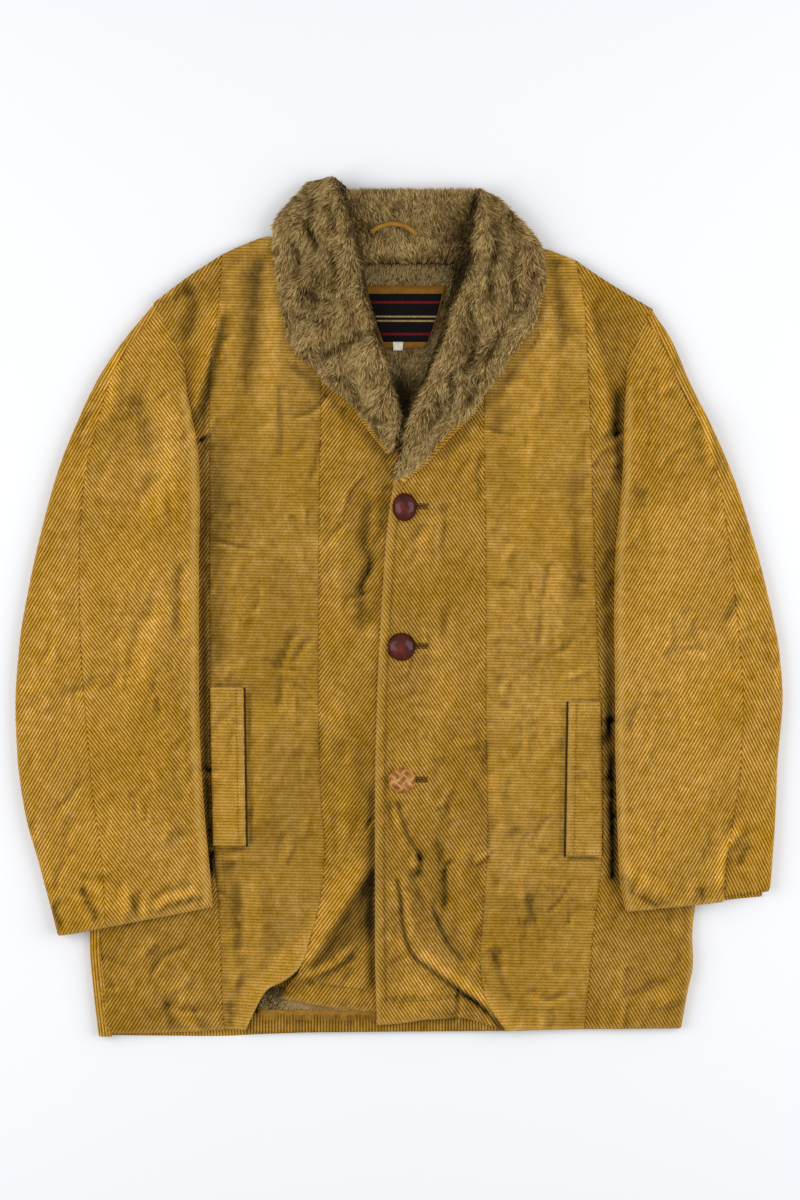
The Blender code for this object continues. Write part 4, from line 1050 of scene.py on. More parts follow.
# %% Wrapping a flat cut round a sleeve
Sections = namedtuple("Sections", "share inner toward width seam lie lift half")


def sections_of(rows):
    """Close sections of a sleeve from its table"""
    marks = np.arange(len(rows), dtype=float)
    table = steady(marks, rows, np.linspace(0.0, len(rows) - 1.0, SLEEVE_SAMPLES))
    span = table[:, 2:4] - table[:, 0:2]
    width = np.linalg.norm(span, axis=1)
    return Sections(np.linspace(0, 1, SLEEVE_SAMPLES), table[:, 0:2], span / width[:, None], width,
                    *table[:, 4:].T)


def reached(sections, reach, shares):
    """Flat places at a reach across each of some sections"""
    rows = np.round(shares * (SLEEVE_SAMPLES - 1)).astype(int)
    return sections.inner[rows] + sections.toward[rows] * reach[rows][:, None]


def round_sleeve(sections, folds):
    """The form that carries flat places on to the lying sleeve"""
    hand = np.sign(sections.toward[SLEEVE_SAMPLES // 2, 0])

    def at(values, share):
        return np.interp(share, sections.share, values)

    def place(flat, rise):
        low, high = np.zeros(len(flat)), np.ones(len(flat))
        for halving in range(22):
            share = (low + high) / 2
            x = flat[:, 0] - at(sections.inner[:, 0], share)
            y = flat[:, 1] - at(sections.inner[:, 1], share)
            toward_x, toward_y = at(sections.toward[:, 0], share), at(sections.toward[:, 1], share)
            further = hand * (toward_x * y - toward_y * x) > 0
            low, high = np.where(further, share, low), np.where(further, high, share)
        reach, width, half = x * toward_x + y * toward_y, at(sections.width, share), at(sections.half, share)
        fore, hind = np.clip(half - reach, 0, None) / half, np.clip(reach - width + half, 0, None) / half
        angle = np.minimum(fore + hind, math.pi)
        beneath = half * np.clip(fore + hind - math.pi, 0, None)
        out = (half + rise) * np.sin(angle) - beneath
        across = np.where(fore > 0, half - out, np.where(hind > 0, width - half + out, reach))
        top = ease(0, 16, reach - half) * ease(0, 16, width - half - reach) * ease(0.0, 0.1, share)
        height = half + (half + rise) * np.cos(angle)
        height += top * (along_folds(flat, folds) + unevenness(flat))
        height += at(sections.lift, share) * (
            1.0 - ease(at(sections.lie, share), at(sections.lie, share) + SLEEVE_SLOPE, across))
        plan = np.column_stack([at(sections.inner[:, 0], share) + toward_x * across,
                                at(sections.inner[:, 1], share) + toward_y * across])
        return metres(plan, height)

    return place


def plain_underside(sections, lean, rows=44, columns=14):
    """The hidden under side of a sleeve, flat on what it lies on"""
    share, part = (grid.ravel() for grid in np.meshgrid(np.linspace(0, 1, rows),
                                                       np.linspace(0, 1, columns), indexing="ij"))
    row = np.round(share * (SLEEVE_SAMPLES - 1)).astype(int)
    across = sections.half[row] + part * (sections.width[row] - 2 * sections.half[row])
    flat = sections.inner[row] + sections.toward[row] * across[:, None]
    lift = sections.lift[row] * (1 - ease(sections.lie[row], sections.lie[row] + SLEEVE_SLOPE, across))
    turn = math.radians(lean)
    uv = flat @ np.array([(-math.sin(turn), math.cos(turn)), (math.cos(turn), math.sin(turn))]).T / WALE
    flip = sections.toward[0, 0] > 0
    return Patch(metres(flat, 0.5 + lift), grid_faces(rows, columns, flip), uv, np.zeros(len(flat)),
                 np.zeros(len(flat)))


# %% Cut and wrap the sleeves
Sleeve = namedtuple("Sleeve", "side rows folds upper_lean under_lean under_end")
SLEEVES = [Sleeve("right", SLEEVE_RIGHT, SLEEVE_RIGHT_FOLDS, 53, -60, 1.0),
           Sleeve("left", SLEEVE_LEFT, SLEEVE_LEFT_FOLDS, -60, 64, 0.988)]
# Soft lighter and darker patches on the sleeves, added to their painted light and shade: partly painted light
# on their tops and painted shade near the body and cuffs, partly the cloth's own tone.
SLEEVE_SPOTS = [
    Spot(150, 560, 34, 80, 0.08), Spot(120, 470, 16, 60, -0.10), Spot(180, 690, 16, 60, -0.10),
    Spot(90, 860, 50, 40, 0.05), Spot(140, 360, 30, 30, 0.08), Spot(60, 700, 30, 80, 0.06),
    Spot(665, 560, 30, 70, 0.06), Spot(700, 700, 34, 80, 0.08), Spot(640, 470, 14, 40, -0.12),
    Spot(660, 370, 24, 30, 0.05), Spot(745, 870, 20, 24, -0.10), Spot(740, 560, 20, 50, 0.08),
]
# Painted shade at the foot of creases at the cuffs, elbows and sleeve heads, with painted light along their
# ridges.
SLEEVE_PAINTED_SHADES = [
    Fold([(130, 390), (143, 414), (158, 468)], -0.22, -0.16, 8),
    Fold([(160, 470), (140, 504)], -0.16, -0.12, 6),
    Fold([(81, 884), (92, 904), (103, 925)], -0.42, -0.56, 2.6),
    Fold([(75, 890), (86, 912), (94, 930)], 0.20, 0.22, 4),
    Fold([(96, 884), (108, 906), (116, 922)], 0.16, 0.20, 5),
    Fold([(148, 917), (172, 906), (206, 893)], -0.32, -0.34, 3),
    Fold([(164, 912), (184, 904), (206, 897)], 0.10, 0.10, 3),
    Fold([(50, 902), (59, 918), (68, 933)], -0.40, -0.42, 3),
    Fold([(176, 852), (186, 814)], -0.16, -0.14, 6),
    Fold([(181, 560), (179, 640)], -0.12, -0.10, 5),
    Fold([(128, 886), (123, 922)], 0.12, 0.16, 5),
    Fold([(131, 892), (137, 908), (140, 920)], -0.30, -0.34, 2.6),
    Fold([(619, 875), (641, 899), (663, 909)], -0.40, -0.34, 3),
    Fold([(624, 864), (648, 888), (676, 900)], 0.16, 0.12, 5),
    Fold([(698, 884), (708, 906)], -0.36, -0.42, 3),
    Fold([(702, 404), (710, 440), (716, 472)], 0.24, 0.20, 3),
    Fold([(695, 418), (706, 474)], -0.20, -0.16, 4),
    Fold([(744, 826), (723, 856), (720, 892)], 0.20, 0.22, 4),
    Fold([(752, 838), (735, 876)], -0.24, -0.20, 5),
    Fold([(631, 482), (653, 523)], -0.20, -0.16, 6),
    Fold([(744, 594), (722, 629)], -0.20, -0.16, 4),
    Fold([(122, 350), (117, 384), (108, 420)], 0.18, 0.12, 6),
]
for sleeve in SLEEVES:
    sections = sections_of(sleeve.rows)
    place = round_sleeve(sections, sleeve.folds)

    def sleeve_slopes(flat, folds=sleeve.folds):
        return FOLD_SHADE * along_folds(flat, folds) + unevenness(flat)

    shares = np.linspace(0.0, 1.0, 220)
    tuck = 1.0 + UNDER_TUCK * ease(0.05, 0.3, sections.share)
    seam = sections.seam * sections.width
    fore = reached(sections, (1 - math.pi) * sections.half - tuck, shares)
    hind_reach = sections.width + (math.pi - 1) * sections.half + tuck
    hind = reached(sections, hind_reach, shares)
    upper = np.vstack([fore, reached(sections, seam, shares)[::-1]])
    short = shares * sleeve.under_end
    under = np.vstack([reached(sections, seam, short), reached(sections, hind_reach, short)[::-1]])
    cuff = [np.vstack([sections.inner[-1], sections.inner[-1] + sections.toward[-1] * sections.width[-1]])]
    edge = [sections.inner[40:] + sections.toward[40:] * 5.0]
    for layer, outline, lean, extra in (
            ("upper", upper, sleeve.upper_lean, []),
            ("under", under, sleeve.under_lean, [plain_underside(sections, sleeve.under_lean)])):
        name = "sleeve_" + layer + "_" + sleeve.side
        patch = cut_panel(outline, lean, place, SLEEVE_DEPTH, sleeve_slopes, spots=SLEEVE_SPOTS,
                          worn=cuff + (edge if layer == "upper" else []), shades=SLEEVE_PAINTED_SHADES)
        piece = sew(name, [patch, *extra], ochre)
        wear_on(piece, "corduroy", name)
        whole = outline
        if extra:
            inside = reached(sections, sections.half, short)
            whole = np.vstack([reached(sections, seam, short), (2 * hind - inside)[::-1]])
        declare(piece, whole)

# %% [markdown]
# ## Collar and lining in pile
#
# The collar is plush: a ground cloth with short locks that lean over and part in soft clumps. A
# hair system would do, but its strands are not a mesh that can be kept. So Geometry Nodes scatter
# small closed three-sided locks over the ground, each turned between the cloth's own normal and a
# combing direction that is stored on the ground as a vector, and the result is a plain mesh. The
# ground and its pile stay two pieces, since only the ground is a cut of cloth.

# %% A tree that grows pile
TUFTS_PER_METRE = 150.0
TUFT_TURN = 0.8


def tree_with(name, *sockets):
    """An empty Geometry Nodes tree with named inputs; gives the tree, its input node and its keys"""
    tree = bpy.data.node_groups.new(name, "GeometryNodeTree")
    tree.is_modifier = True
    tree.interface.new_socket("Geometry", in_out="OUTPUT", socket_type="NodeSocketGeometry")
    tree.interface.new_socket("Geometry", in_out="INPUT", socket_type="NodeSocketGeometry")
    keys = {}
    for label, kind in sockets:
        keys[label] = tree.interface.new_socket(label, in_out="INPUT", socket_type=kind).identifier
    return tree, tree.nodes.new("NodeGroupInput").outputs, keys


def end_tree(tree, instances, finish):
    """Make the instances real and give them their finish"""
    real = add(tree, "GeometryNodeRealizeInstances", {"Geometry": instances})
    dressed = add(tree, "GeometryNodeSetMaterial", {"Geometry": real.outputs[0], "Material": finish})
    add(tree, "NodeGroupOutput", {"Geometry": dressed.outputs[0]})


pile_tree, given, PILE_KEYS = tree_with(
    "pile", ("Locks per square metre", "NodeSocketFloat"), ("Lock length", "NodeSocketFloat"),
    ("Lock width", "NodeSocketFloat"), ("Lean", "NodeSocketFloat"), ("Seed", "NodeSocketInt"),
    ("Finish", "NodeSocketMaterial"))
scatter = add(pile_tree, "GeometryNodeDistributePointsOnFaces", {
    "Mesh": given["Geometry"], "Density": given["Locks per square metre"], "Seed": given["Seed"]})
combed = add(pile_tree, "GeometryNodeInputNamedAttribute", {"Name": "comb"}, data_type="FLOAT_VECTOR")
leaning = add(pile_tree, "ShaderNodeMix", {
    "Factor": given["Lean"], "A": scatter.outputs["Normal"],
    "B": socket(combed.outputs, "Attribute")}, data_type="VECTOR")
stray = add(pile_tree, "FunctionNodeRandomValue", {
    "Min": (-0.28, -0.28, -0.14), "Max": (0.28, 0.28, 0.14), "Seed": 3}, data_type="FLOAT_VECTOR")
here = add(pile_tree, "GeometryNodeInputPosition").outputs[0]
tuft = add(pile_tree, "ShaderNodeTexNoise", {"Vector": here, "Scale": TUFTS_PER_METRE, "Detail": 1.0})
tuft = add(pile_tree, "ShaderNodeVectorMath", {0: tuft.outputs["Color"], 1: (0.5, 0.5, 0.5)},
           operation="SUBTRACT")
tuft = add(pile_tree, "ShaderNodeVectorMath", {0: tuft.outputs["Vector"], "Scale": TUFT_TURN},
           operation="SCALE")
aim = add(pile_tree, "ShaderNodeVectorMath", {
    0: socket(leaning.outputs, "Result"), 1: socket(stray.outputs, "Value")}, operation="ADD")
aim = add(pile_tree, "ShaderNodeVectorMath", {
    0: aim.outputs["Vector"], 1: tuft.outputs["Vector"]}, operation="ADD")
turned = add(pile_tree, "FunctionNodeAlignRotationToVector", {"Vector": aim.outputs["Vector"]}, axis="Z")
lock = add(pile_tree, "GeometryNodeMeshCone", {
    "Vertices": 3, "Side Segments": 1, "Radius Top": 0.0, "Radius Bottom": given["Lock width"],
    "Depth": given["Lock length"]}, fill_type="NGON")
rise = add(pile_tree, "ShaderNodeSeparateXYZ", {
    "Vector": add(pile_tree, "GeometryNodeInputPosition").outputs[0]}).outputs["Z"]
tipped = add(pile_tree, "GeometryNodeStoreNamedAttribute", {
    "Geometry": lock.outputs["Mesh"], "Name": "tip",
    "Value": math_node(pile_tree, "DIVIDE", rise, given["Lock length"])}, domain="POINT")
size = add(pile_tree, "FunctionNodeRandomValue", {"Min": 0.6, "Max": 1.25, "Seed": 5}, data_type="FLOAT")
planted = add(pile_tree, "GeometryNodeInstanceOnPoints", {
    "Points": scatter.outputs["Points"], "Instance": tipped.outputs[0],
    "Rotation": turned.outputs["Rotation"], "Scale": socket(size.outputs, "Value")})
single = add(pile_tree, "FunctionNodeRandomValue", {"Min": 0.0, "Max": 0.85, "Seed": 7}, data_type="FLOAT")
clump = spread(pile_tree, noise(pile_tree, here, TUFTS_PER_METRE, 1.0), 0.0, 0.3)
toned = add(pile_tree, "GeometryNodeStoreNamedAttribute", {
    "Geometry": planted.outputs["Instances"], "Name": "tone",
    "Value": math_node(pile_tree, "ADD", clump, socket(single.outputs, "Value"))}, domain="INSTANCE")
end_tree(pile_tree, toned.outputs[0], given["Finish"])


def grown(name, source, tree, keys, values):
    """The result of a tree on an object, as a plain mesh object that stays above the table"""
    modifier = source.modifiers.new(tree.name, "NODES")
    modifier.node_group = tree
    for label, value in values.items():
        modifier[keys[label]] = value
    found = source.evaluated_get(bpy.context.evaluated_depsgraph_get())
    mesh = bpy.data.meshes.new_from_object(found)
    mesh.name = name
    points = np.empty(len(mesh.vertices) * 3)
    mesh.vertices.foreach_get("co", points)
    points[2::3] = np.maximum(points[2::3], 0.0)
    mesh.vertices.foreach_set("co", points)
    mesh.update()
    source.modifiers.remove(modifier)
    print(name, "faces", len(mesh.polygons))
    return link(name, mesh)


# %% Grounds of the collar
CollarRow = namedtuple("CollarRow", "edge_x edge_y roll_x roll_y neck_x neck_y edge_z roll_z neck_z")
COLLAR_RIGHT = [
    CollarRow(312, 181, 333, 178, 346, 187, 6.0, 17.0, 11.5),
    CollarRow(293, 202, 340, 201, 350, 204, 9.0, 23.0, 11.5),
    CollarRow(275, 227, 345, 225, 355, 226, 10.9, 25.0, 11.5),
    CollarRow(276, 252, 353, 254, 362, 254, 10.9, 25.0, 11.5),
    CollarRow(280, 280, 359, 280, 366, 282, 10.9, 24.0, 12.2),
    CollarRow(284, 312, 366, 311, 372, 313, 10.9, 22.0, 12.2),
    CollarRow(292, 339, 375, 339, 381, 341, 10.9, 19.0, 11.2),
    CollarRow(306, 359, 383, 361, 388, 363, 10.9, 18.0, 10.5),
    CollarRow(326, 378, 389, 382, 393, 385, 10.9, 17.0, 10.0),
    CollarRow(348, 398, 394, 402, 397.5, 405, 10.9, 15.0, 10.0),
    CollarRow(368, 419, 398, 420, 400, 421, 10.9, 13.5, 10.3),
    CollarRow(382, 437, 397, 436, 398.2, 436.5, 10.9, 12.5, 11.2),
    CollarRow(394, 450, 396, 449, 396.6, 448.5, 10.9, 11.6, 11.2),
]
COLLAR_LEFT = [
    CollarRow(494, 195, 479, 190, 473, 193, 6.0, 17.0, 11.5),
    CollarRow(502, 204, 480, 204, 470, 206, 9.0, 22.0, 11.5),
    CollarRow(524, 227, 481, 228, 466, 230, 10.9, 25.0, 11.5),
    CollarRow(540, 249, 478, 250, 460, 254, 10.9, 26.0, 11.5),
    CollarRow(544, 279, 468, 280, 452, 282, 10.9, 25.0, 12.2),
    CollarRow(540, 301, 461, 301, 449, 301, 10.9, 23.0, 12.2),
    CollarRow(533, 323, 453, 325, 443, 325, 10.9, 21.0, 11.2),
    CollarRow(513, 352, 441, 355, 433, 354, 10.9, 19.0, 10.5),
    CollarRow(493, 378, 430, 381, 424, 380, 10.9, 18.0, 10.0),
    CollarRow(481, 397, 421, 400, 416, 399, 10.9, 17.0, 10.0),
    CollarRow(468, 414, 413, 418, 409, 416, 11.2, 17.0, 11.5),
    CollarRow(452, 428, 408, 431, 406, 430, 16.3, 18.5, 15.4),
    CollarRow(434, 447, 403, 449, 401.6, 449, 16.3, 18.5, 16.0),
    CollarRow(416, 466, 399, 465, 398, 464, 16.3, 18.0, 16.2),
    CollarRow(397, 478, 395.5, 476.5, 395, 476, 16.3, 16.8, 16.4),
]
GROUND_LIFT = 2.8
GROUND_BULGE = 5.0
FALL_SHARE = 0.72
COLLAR_ROWS, COLLAR_COLUMNS = 90, 40


def collar_spots(rows, lift, bulge, grow, until=1.0):
    """Grid of places on a collar flap, from its free edge over the roll to the neck"""
    marks = np.arange(len(rows), dtype=float)
    table = steady(marks, rows, np.linspace(0.0, len(rows) - 1.0, COLLAR_ROWS))[:, None, :]
    u = np.linspace(0.0, until, COLLAR_COLUMNS)[None, :, None]
    edge, roll, neck = table[..., 0:2], table[..., 2:4], table[..., 4:6]
    outward = (edge - roll) / np.maximum(np.linalg.norm(edge - roll, axis=2, keepdims=True), 1.0)
    grow = grow * (0.5 + 1.3 * ease(395, 425, edge[..., 1:]))
    fall, drop = np.clip(u / FALL_SHARE, 0, 1), np.clip((u - FALL_SHARE) / (1 - FALL_SHARE), 0, 1)
    plan = edge + outward * grow + (roll - edge - outward * grow) * fall + (neck - roll) * drop
    height = (table[..., 6:7] + (table[..., 7:8] - table[..., 6:7]) * ease(0.3, 1.0, fall)
              + (table[..., 8:9] - table[..., 7:8]) * ease(0.0, 1.0, drop) ** 0.8)
    ends = ease(0.0, 0.08, 1.0 - np.linspace(0, 1, COLLAR_ROWS))[:, None, None]
    round_edge = np.sqrt(1.0 - (1.0 - np.clip(u / 0.16, 0, 1)) ** 2)
    x, y = plan[..., :1], plan[..., 1:]
    lumps = np.sin(x / 6.5 + 1.4 * np.sin(y / 9.0)) * np.sin(y / 7.5 + 0.9 * np.sin(x / 12.0))
    lumps = lumps + 0.3 * np.sin(x / 2.6 + 1.7 * np.sin(y / 6.1)) * np.sin(y / 2.9 + 1.3 * np.sin(x / 5.3))
    swollen = bulge * round_edge * ends * (1.0 - 0.7 * ease(0.0, 1.0, drop))
    return np.concatenate([plan, height + lift + swollen + 0.24 * bulge * lumps * round_edge], axis=2)


# Painted shade on the pile behind the neck: under the roll of the left flap, in the hollow of the neck,
# beside the roll of the right flap and along the seam at the foot of the stand.
STAND_PAINTED_SHADES = [
    Fold([(474, 196), (466, 240), (458, 288)], -0.60, -0.60, 22),
    Fold([(392, 362), (404, 392), (400, 428)], -0.50, -0.55, 13),
    Fold([(350, 196), (360, 230), (366, 262)], -0.45, -0.40, 15),
    Fold([(360, 262), (450, 262)], -0.25, -0.30, 2.5),
]
# Painted shade and light on the collar flaps: dark lines where the pile parts, painted as the shade in the
# partings, a line where the nap changes, and broad patches of painted light and shade.
FLAP_PARTINGS_AND_SHADES = [
    Fold([(312, 236), (318, 290), (334, 330)], -0.20, -0.20, 20),
    Fold([(340, 362), (376, 404)], 0.16, 0.12, 15),
    Fold([(316, 355), (342, 345), (369, 328)], -0.50, -0.40, 3.5),
    Fold([(318, 196), (311, 226), (319, 252)], -0.40, -0.34, 3),
    Fold([(302, 214), (312, 232), (324, 250)], -0.40, -0.30, 3),
    Fold([(288, 236), (300, 258), (296, 282)], -0.36, -0.36, 3),
    Fold([(330, 244), (337, 268), (332, 294)], -0.40, -0.34, 3),
    Fold([(298, 286), (318, 296), (340, 300)], -0.44, -0.34, 3),
    Fold([(288, 312), (308, 316), (332, 326)], -0.36, -0.40, 2.8),
    Fold([(346, 290), (353, 318)], -0.34, -0.34, 3),
    Fold([(330, 372), (350, 388), (360, 408)], -0.34, -0.26, 2.6),
    Fold([(362, 398), (380, 424)], -0.34, -0.34, 2.6),
    Fold([(330, 196), (336, 240)], -0.24, -0.20, 4),
    Fold([(462, 320), (466, 350), (458, 378)], -0.20, -0.20, 15),
    Fold([(506, 222), (514, 262)], 0.12, 0.10, 14),
    Fold([(451, 369), (453, 388), (447, 410)], -0.60, -0.50, 3),
    Fold([(497, 250), (489, 274), (491, 302)], -0.46, -0.40, 3),
    Fold([(519, 240), (511, 264), (515, 292), (506, 318)], -0.46, -0.40, 3),
    Fold([(532, 266), (526, 300), (511, 328)], -0.36, -0.36, 3),
    Fold([(489, 214), (495, 238), (490, 262)], -0.40, -0.36, 3),
    Fold([(472, 326), (476, 350), (463, 374)], -0.46, -0.40, 3),
    Fold([(466, 292), (471, 316), (462, 340)], -0.36, -0.40, 3),
    Fold([(505, 320), (495, 346), (481, 364)], -0.40, -0.36, 3),
    Fold([(484, 372), (470, 392), (466, 408)], -0.36, -0.36, 3),
    Fold([(438, 392), (437, 414), (428, 432)], -0.40, -0.36, 2.6),
    Fold([(505, 208), (518, 234)], -0.30, -0.25, 3),
]


def ground(name, spots, finish, flip, outward=0.4, shades=(), inner=0.0):
    """Ground cloth through a grid of places, combed along its length and outwards with stray swirls"""
    rows, columns = spots.shape[:2]
    places = spots.reshape(-1, 3)
    side = np.gradient(spots, axis=1)
    down = np.gradient(spots, axis=0)
    side, down = (vector / np.maximum(np.linalg.norm(vector, axis=2, keepdims=True), 1e-6)
                  for vector in (side, down))
    x, y = spots[..., :1], spots[..., 1:2]
    swirl = 0.4 * np.sin(x / 5.2 + 1.6 * np.sin(y / 11.0)) + 0.4 * np.sin(y / 9.5 + x / 13.0)
    comb = down * np.cos(swirl) - side * (outward + np.sin(swirl))
    comb = (comb / np.linalg.norm(comb, axis=2, keepdims=True) * (1, -1, 1)).reshape(-1, 3)
    run = np.repeat(np.arange(rows), columns)
    uv = np.column_stack([run, np.tile(np.arange(columns), rows)]).astype(float)
    # Painted shade on the pile from the shade lines, and painted shade on the inner side of a flap, under its
    # roll, as strong as inner.
    nap = along_folds(places[:, :2], shades)
    nap += inner * np.tile(ease(FALL_SHARE, FALL_SHARE + 0.14, np.linspace(0, 1, columns)), rows)
    piece = sew(name, [Patch(metres(places[:, :2], places[:, 2]), grid_faces(rows, columns, flip), uv,
                             np.zeros(len(places)), nap)], finish)
    piece.data.attributes.new("comb", "FLOAT_VECTOR", "POINT").data.foreach_set("vector", comb.ravel())
    return piece


def girth_area(spots):
    """Area of a grid of places, in square metres"""
    side, down = np.diff(spots, axis=1)[:-1], np.diff(spots, axis=0)[:, :-1]
    return np.linalg.norm(np.cross(side, down), axis=2).sum() * MM ** 2


def declare_grid(spots, rests_on):
    """Work out a grid piece's area and the lengths of its middle lines; nothing is kept or printed"""
    rows, columns = spots.shape[:2]
    area = girth_area(spots)
    tall = max(lengths(spots[:, column])[-1] for column in (0, columns // 2, columns - 1)) * MM
    wide = max(max(lengths(spots[row])[-1] for row in range(rows)) * MM, area / tall)
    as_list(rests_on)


# %% Grow the collar
STAND_TOP_Y, STAND_SEAM_Y = 192.0, 264.0
STAND_HALF = 7.0
STAND_RIGHT = [(338, 192), (352, 264)]
STAND_LEFT = [(484, 192), (474, 264)]
STAND_TURN = 0.72


def stand_spots(rows=44, columns=50):
    """Grid of places on the collar behind the neck: up the stand, over its top and down behind"""
    drop = STAND_SEAM_Y - STAND_TOP_Y - STAND_HALF
    marks = np.linspace(0.0, drop + math.pi * STAND_HALF * STAND_TURN, rows)
    angle = np.clip(marks - drop, 0, None) / STAND_HALF
    y = np.where(marks < drop, STAND_SEAM_Y - marks, STAND_TOP_Y + STAND_HALF * (1 - np.sin(angle)))
    z = np.where(marks < drop, 11.0 + 6.0 * np.clip(marks / drop, 0, 1) ** 1.5,
                 10.0 + STAND_HALF * np.cos(angle))
    share = ((y - STAND_TOP_Y) / (STAND_SEAM_Y - STAND_TOP_Y))[:, None]
    low = STAND_RIGHT[0][0] + (STAND_RIGHT[1][0] - STAND_RIGHT[0][0]) * share
    high = STAND_LEFT[0][0] + (STAND_LEFT[1][0] - STAND_LEFT[0][0]) * share
    x = low + (high - low) * np.linspace(0, 1, columns)
    y, z = np.broadcast_to(y[:, None], x.shape), np.broadcast_to(z[:, None], x.shape)
    lumps = np.sin(x / 7.0) * np.sin(y / 6.0 + np.sin(x / 13.0))
    return np.stack([x, y, z + 0.7 * lumps], axis=2)


Plush = namedtuple("Plush", "name spots flip outward shades inner density length width lean seed rests_on")
COLLAR_GROUNDS = [
    Plush("collar_right", collar_spots(COLLAR_RIGHT, GROUND_LIFT, GROUND_BULGE, 0.0), False, 0.6,
          FLAP_PARTINGS_AND_SHADES, -0.4, 1.25e6, 0.0076, 0.0007, 0.74, 11, ["under_collar_right"]),
    Plush("collar_left", collar_spots(COLLAR_LEFT, GROUND_LIFT, GROUND_BULGE, 0.0), True, 0.1,
          FLAP_PARTINGS_AND_SHADES, -0.6, 1.25e6, 0.0076, 0.0007, 0.74, 12, ["under_collar_left"]),
    Plush("collar_back", stand_spots(), True, 0.1, STAND_PAINTED_SHADES, 0.0, 1.3e6, 0.0066, 0.0007, 0.66, 13,
          ["back"]),
]


def lay_plush(plush_piece, slot, finish):
    made = ground(plush_piece.name, plush_piece.spots, finish, plush_piece.flip, plush_piece.outward,
                  plush_piece.shades, plush_piece.inner)
    pile = grown(plush_piece.name + "_pile", made, pile_tree, PILE_KEYS, {
        "Locks per square metre": plush_piece.density, "Lock length": plush_piece.length,
        "Lock width": plush_piece.width, "Lean": plush_piece.lean, "Seed": plush_piece.seed,
        "Finish": finish})
    wear_on(made, slot, plush_piece.name)
    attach(pile, "root")
    declare_grid(plush_piece.spots, plush_piece.rests_on)
    return made


for collar in COLLAR_GROUNDS:
    lay_plush(collar, "collar_pile", collar_plush)

# %% Corduroy under the collar, and the lining inside the neck
for side, rows, flip in (("right", COLLAR_RIGHT, False), ("left", COLLAR_LEFT, True)):
    spots = collar_spots(rows, 1.6, 0.0, 5.0, 0.66)
    under = ground("under_collar_" + side, spots, ochre, flip)
    wear_on(under, "corduroy", "under_collar_" + side)
    declare_grid(spots, [side + "_front_middle"])

NECK_RIGHT = [(352, 262), (360, 300), (372, 340), (386, 385), (396, 425)]
NECK_LEFT = [(474, 262), (462, 300), (448, 340), (432, 372), (412, 412)]


def lining_spots(rows=60, columns=30):
    """Grid of places on the lining inside the neck, which sinks between the fronts"""
    v, u = (grid.ravel() for grid in np.meshgrid(np.linspace(0, 1, rows), np.linspace(0, 1, columns),
                                                 indexing="ij"))
    flat = blended(NECK_RIGHT, NECK_LEFT, (), (), u, v)
    height = FRONT_TOP - 1.0 - 4.0 * ease(345, 395, flat[:, 1]) + 0.3 * np.sin(flat[:, 0] / 5.0)
    return np.column_stack([flat, height]).reshape(rows, columns, 3)


# Painted shade in the hollow of the neck lining, added to the painted shade behind the neck.
NECK_PAINTED_SHADES = [*STAND_PAINTED_SHADES, Fold([(394, 350), (401, 390), (404, 430)], -0.20, -0.45, 18)]
neck_plush = Plush("neck_lining", lining_spots(), False, 0.2, NECK_PAINTED_SHADES, 0.0, 1.2e6, 0.0042, 0.0005, 0.75,
                   21, ["back"])
lay_plush(neck_plush, "lining_pile", lining_plush)

# %% [markdown]
# ## Labels, loop and the inside of the hem
#
# A dark woven label sits on a mustard patch inside the neck, with a small white tab under it and a
# narrow hanger loop above. The label carries plain stripes only. At the hem the back's facing shows
# below the fronts, with a tape along its edge and a sliver of lining above that. All of these are
# thin flat cuts, so a bowed grid with turned-down edges serves for each.

# %% Thin flat cuts
BOW = 0.25


def thin_cut(name, left, right, height, depth, finish, rows=14, columns=26):
    """A thin strip of cloth between two edges, slightly bowed"""
    v, u = (grid.ravel() for grid in np.meshgrid(np.linspace(0, 1, rows), np.linspace(0, 1, columns),
                                                 indexing="ij"))
    flat = blended(left, right, (), (), u, v)
    rise = BOW * np.sin(flat[:, 0] / 6.0 + 1.0) * np.sin(flat[:, 1] / 8.0)
    faces = grid_faces(rows, columns)
    blank = np.zeros(len(flat))
    patch = hemmed(flat, faces, np.column_stack([u, v]), lambda places, up: metres(places, height + up),
                   rise, depth, blank, blank)
    piece = sew(name, [patch], finish)
    grid = np.column_stack([flat, np.zeros(len(flat))]).reshape(rows, columns, 3)
    return piece, grid


def striped_label(name):
    """Near-black woven label with plain stripes along it"""
    material, tree, shader = new_finish(name, 0.8, Specular_IOR_Level=0.06)
    down = add(tree, "ShaderNodeSeparateXYZ", {
        "Vector": add(tree, "ShaderNodeUVMap", uv_map="wales").outputs["UV"]}).outputs["Y"]
    dark, red, gold = linear(17, 13, 16), linear(96, 20, 22), linear(150, 126, 78)
    stripes = ramp(tree, down, (0.0, dark), (0.14, dark), (0.16, red), (0.19, red), (0.21, dark),
                   (0.44, dark), (0.46, gold), (0.475, gold), (0.49, dark), (0.53, dark), (0.55, gold),
                   (0.565, gold), (0.58, dark), (0.80, dark), (0.82, red), (0.85, red), (0.87, dark))
    place = add(tree, "ShaderNodeTexCoord").outputs["Object"]
    value = spread(tree, noise(tree, place, 420.0, 2.0, 0.7), 0.7, 1.3)
    toned = add(tree, "ShaderNodeHueSaturation", {"Color": stripes, "Value": value})
    tree.links.new(toned.outputs["Color"], shader.inputs["Base Color"])
    return material


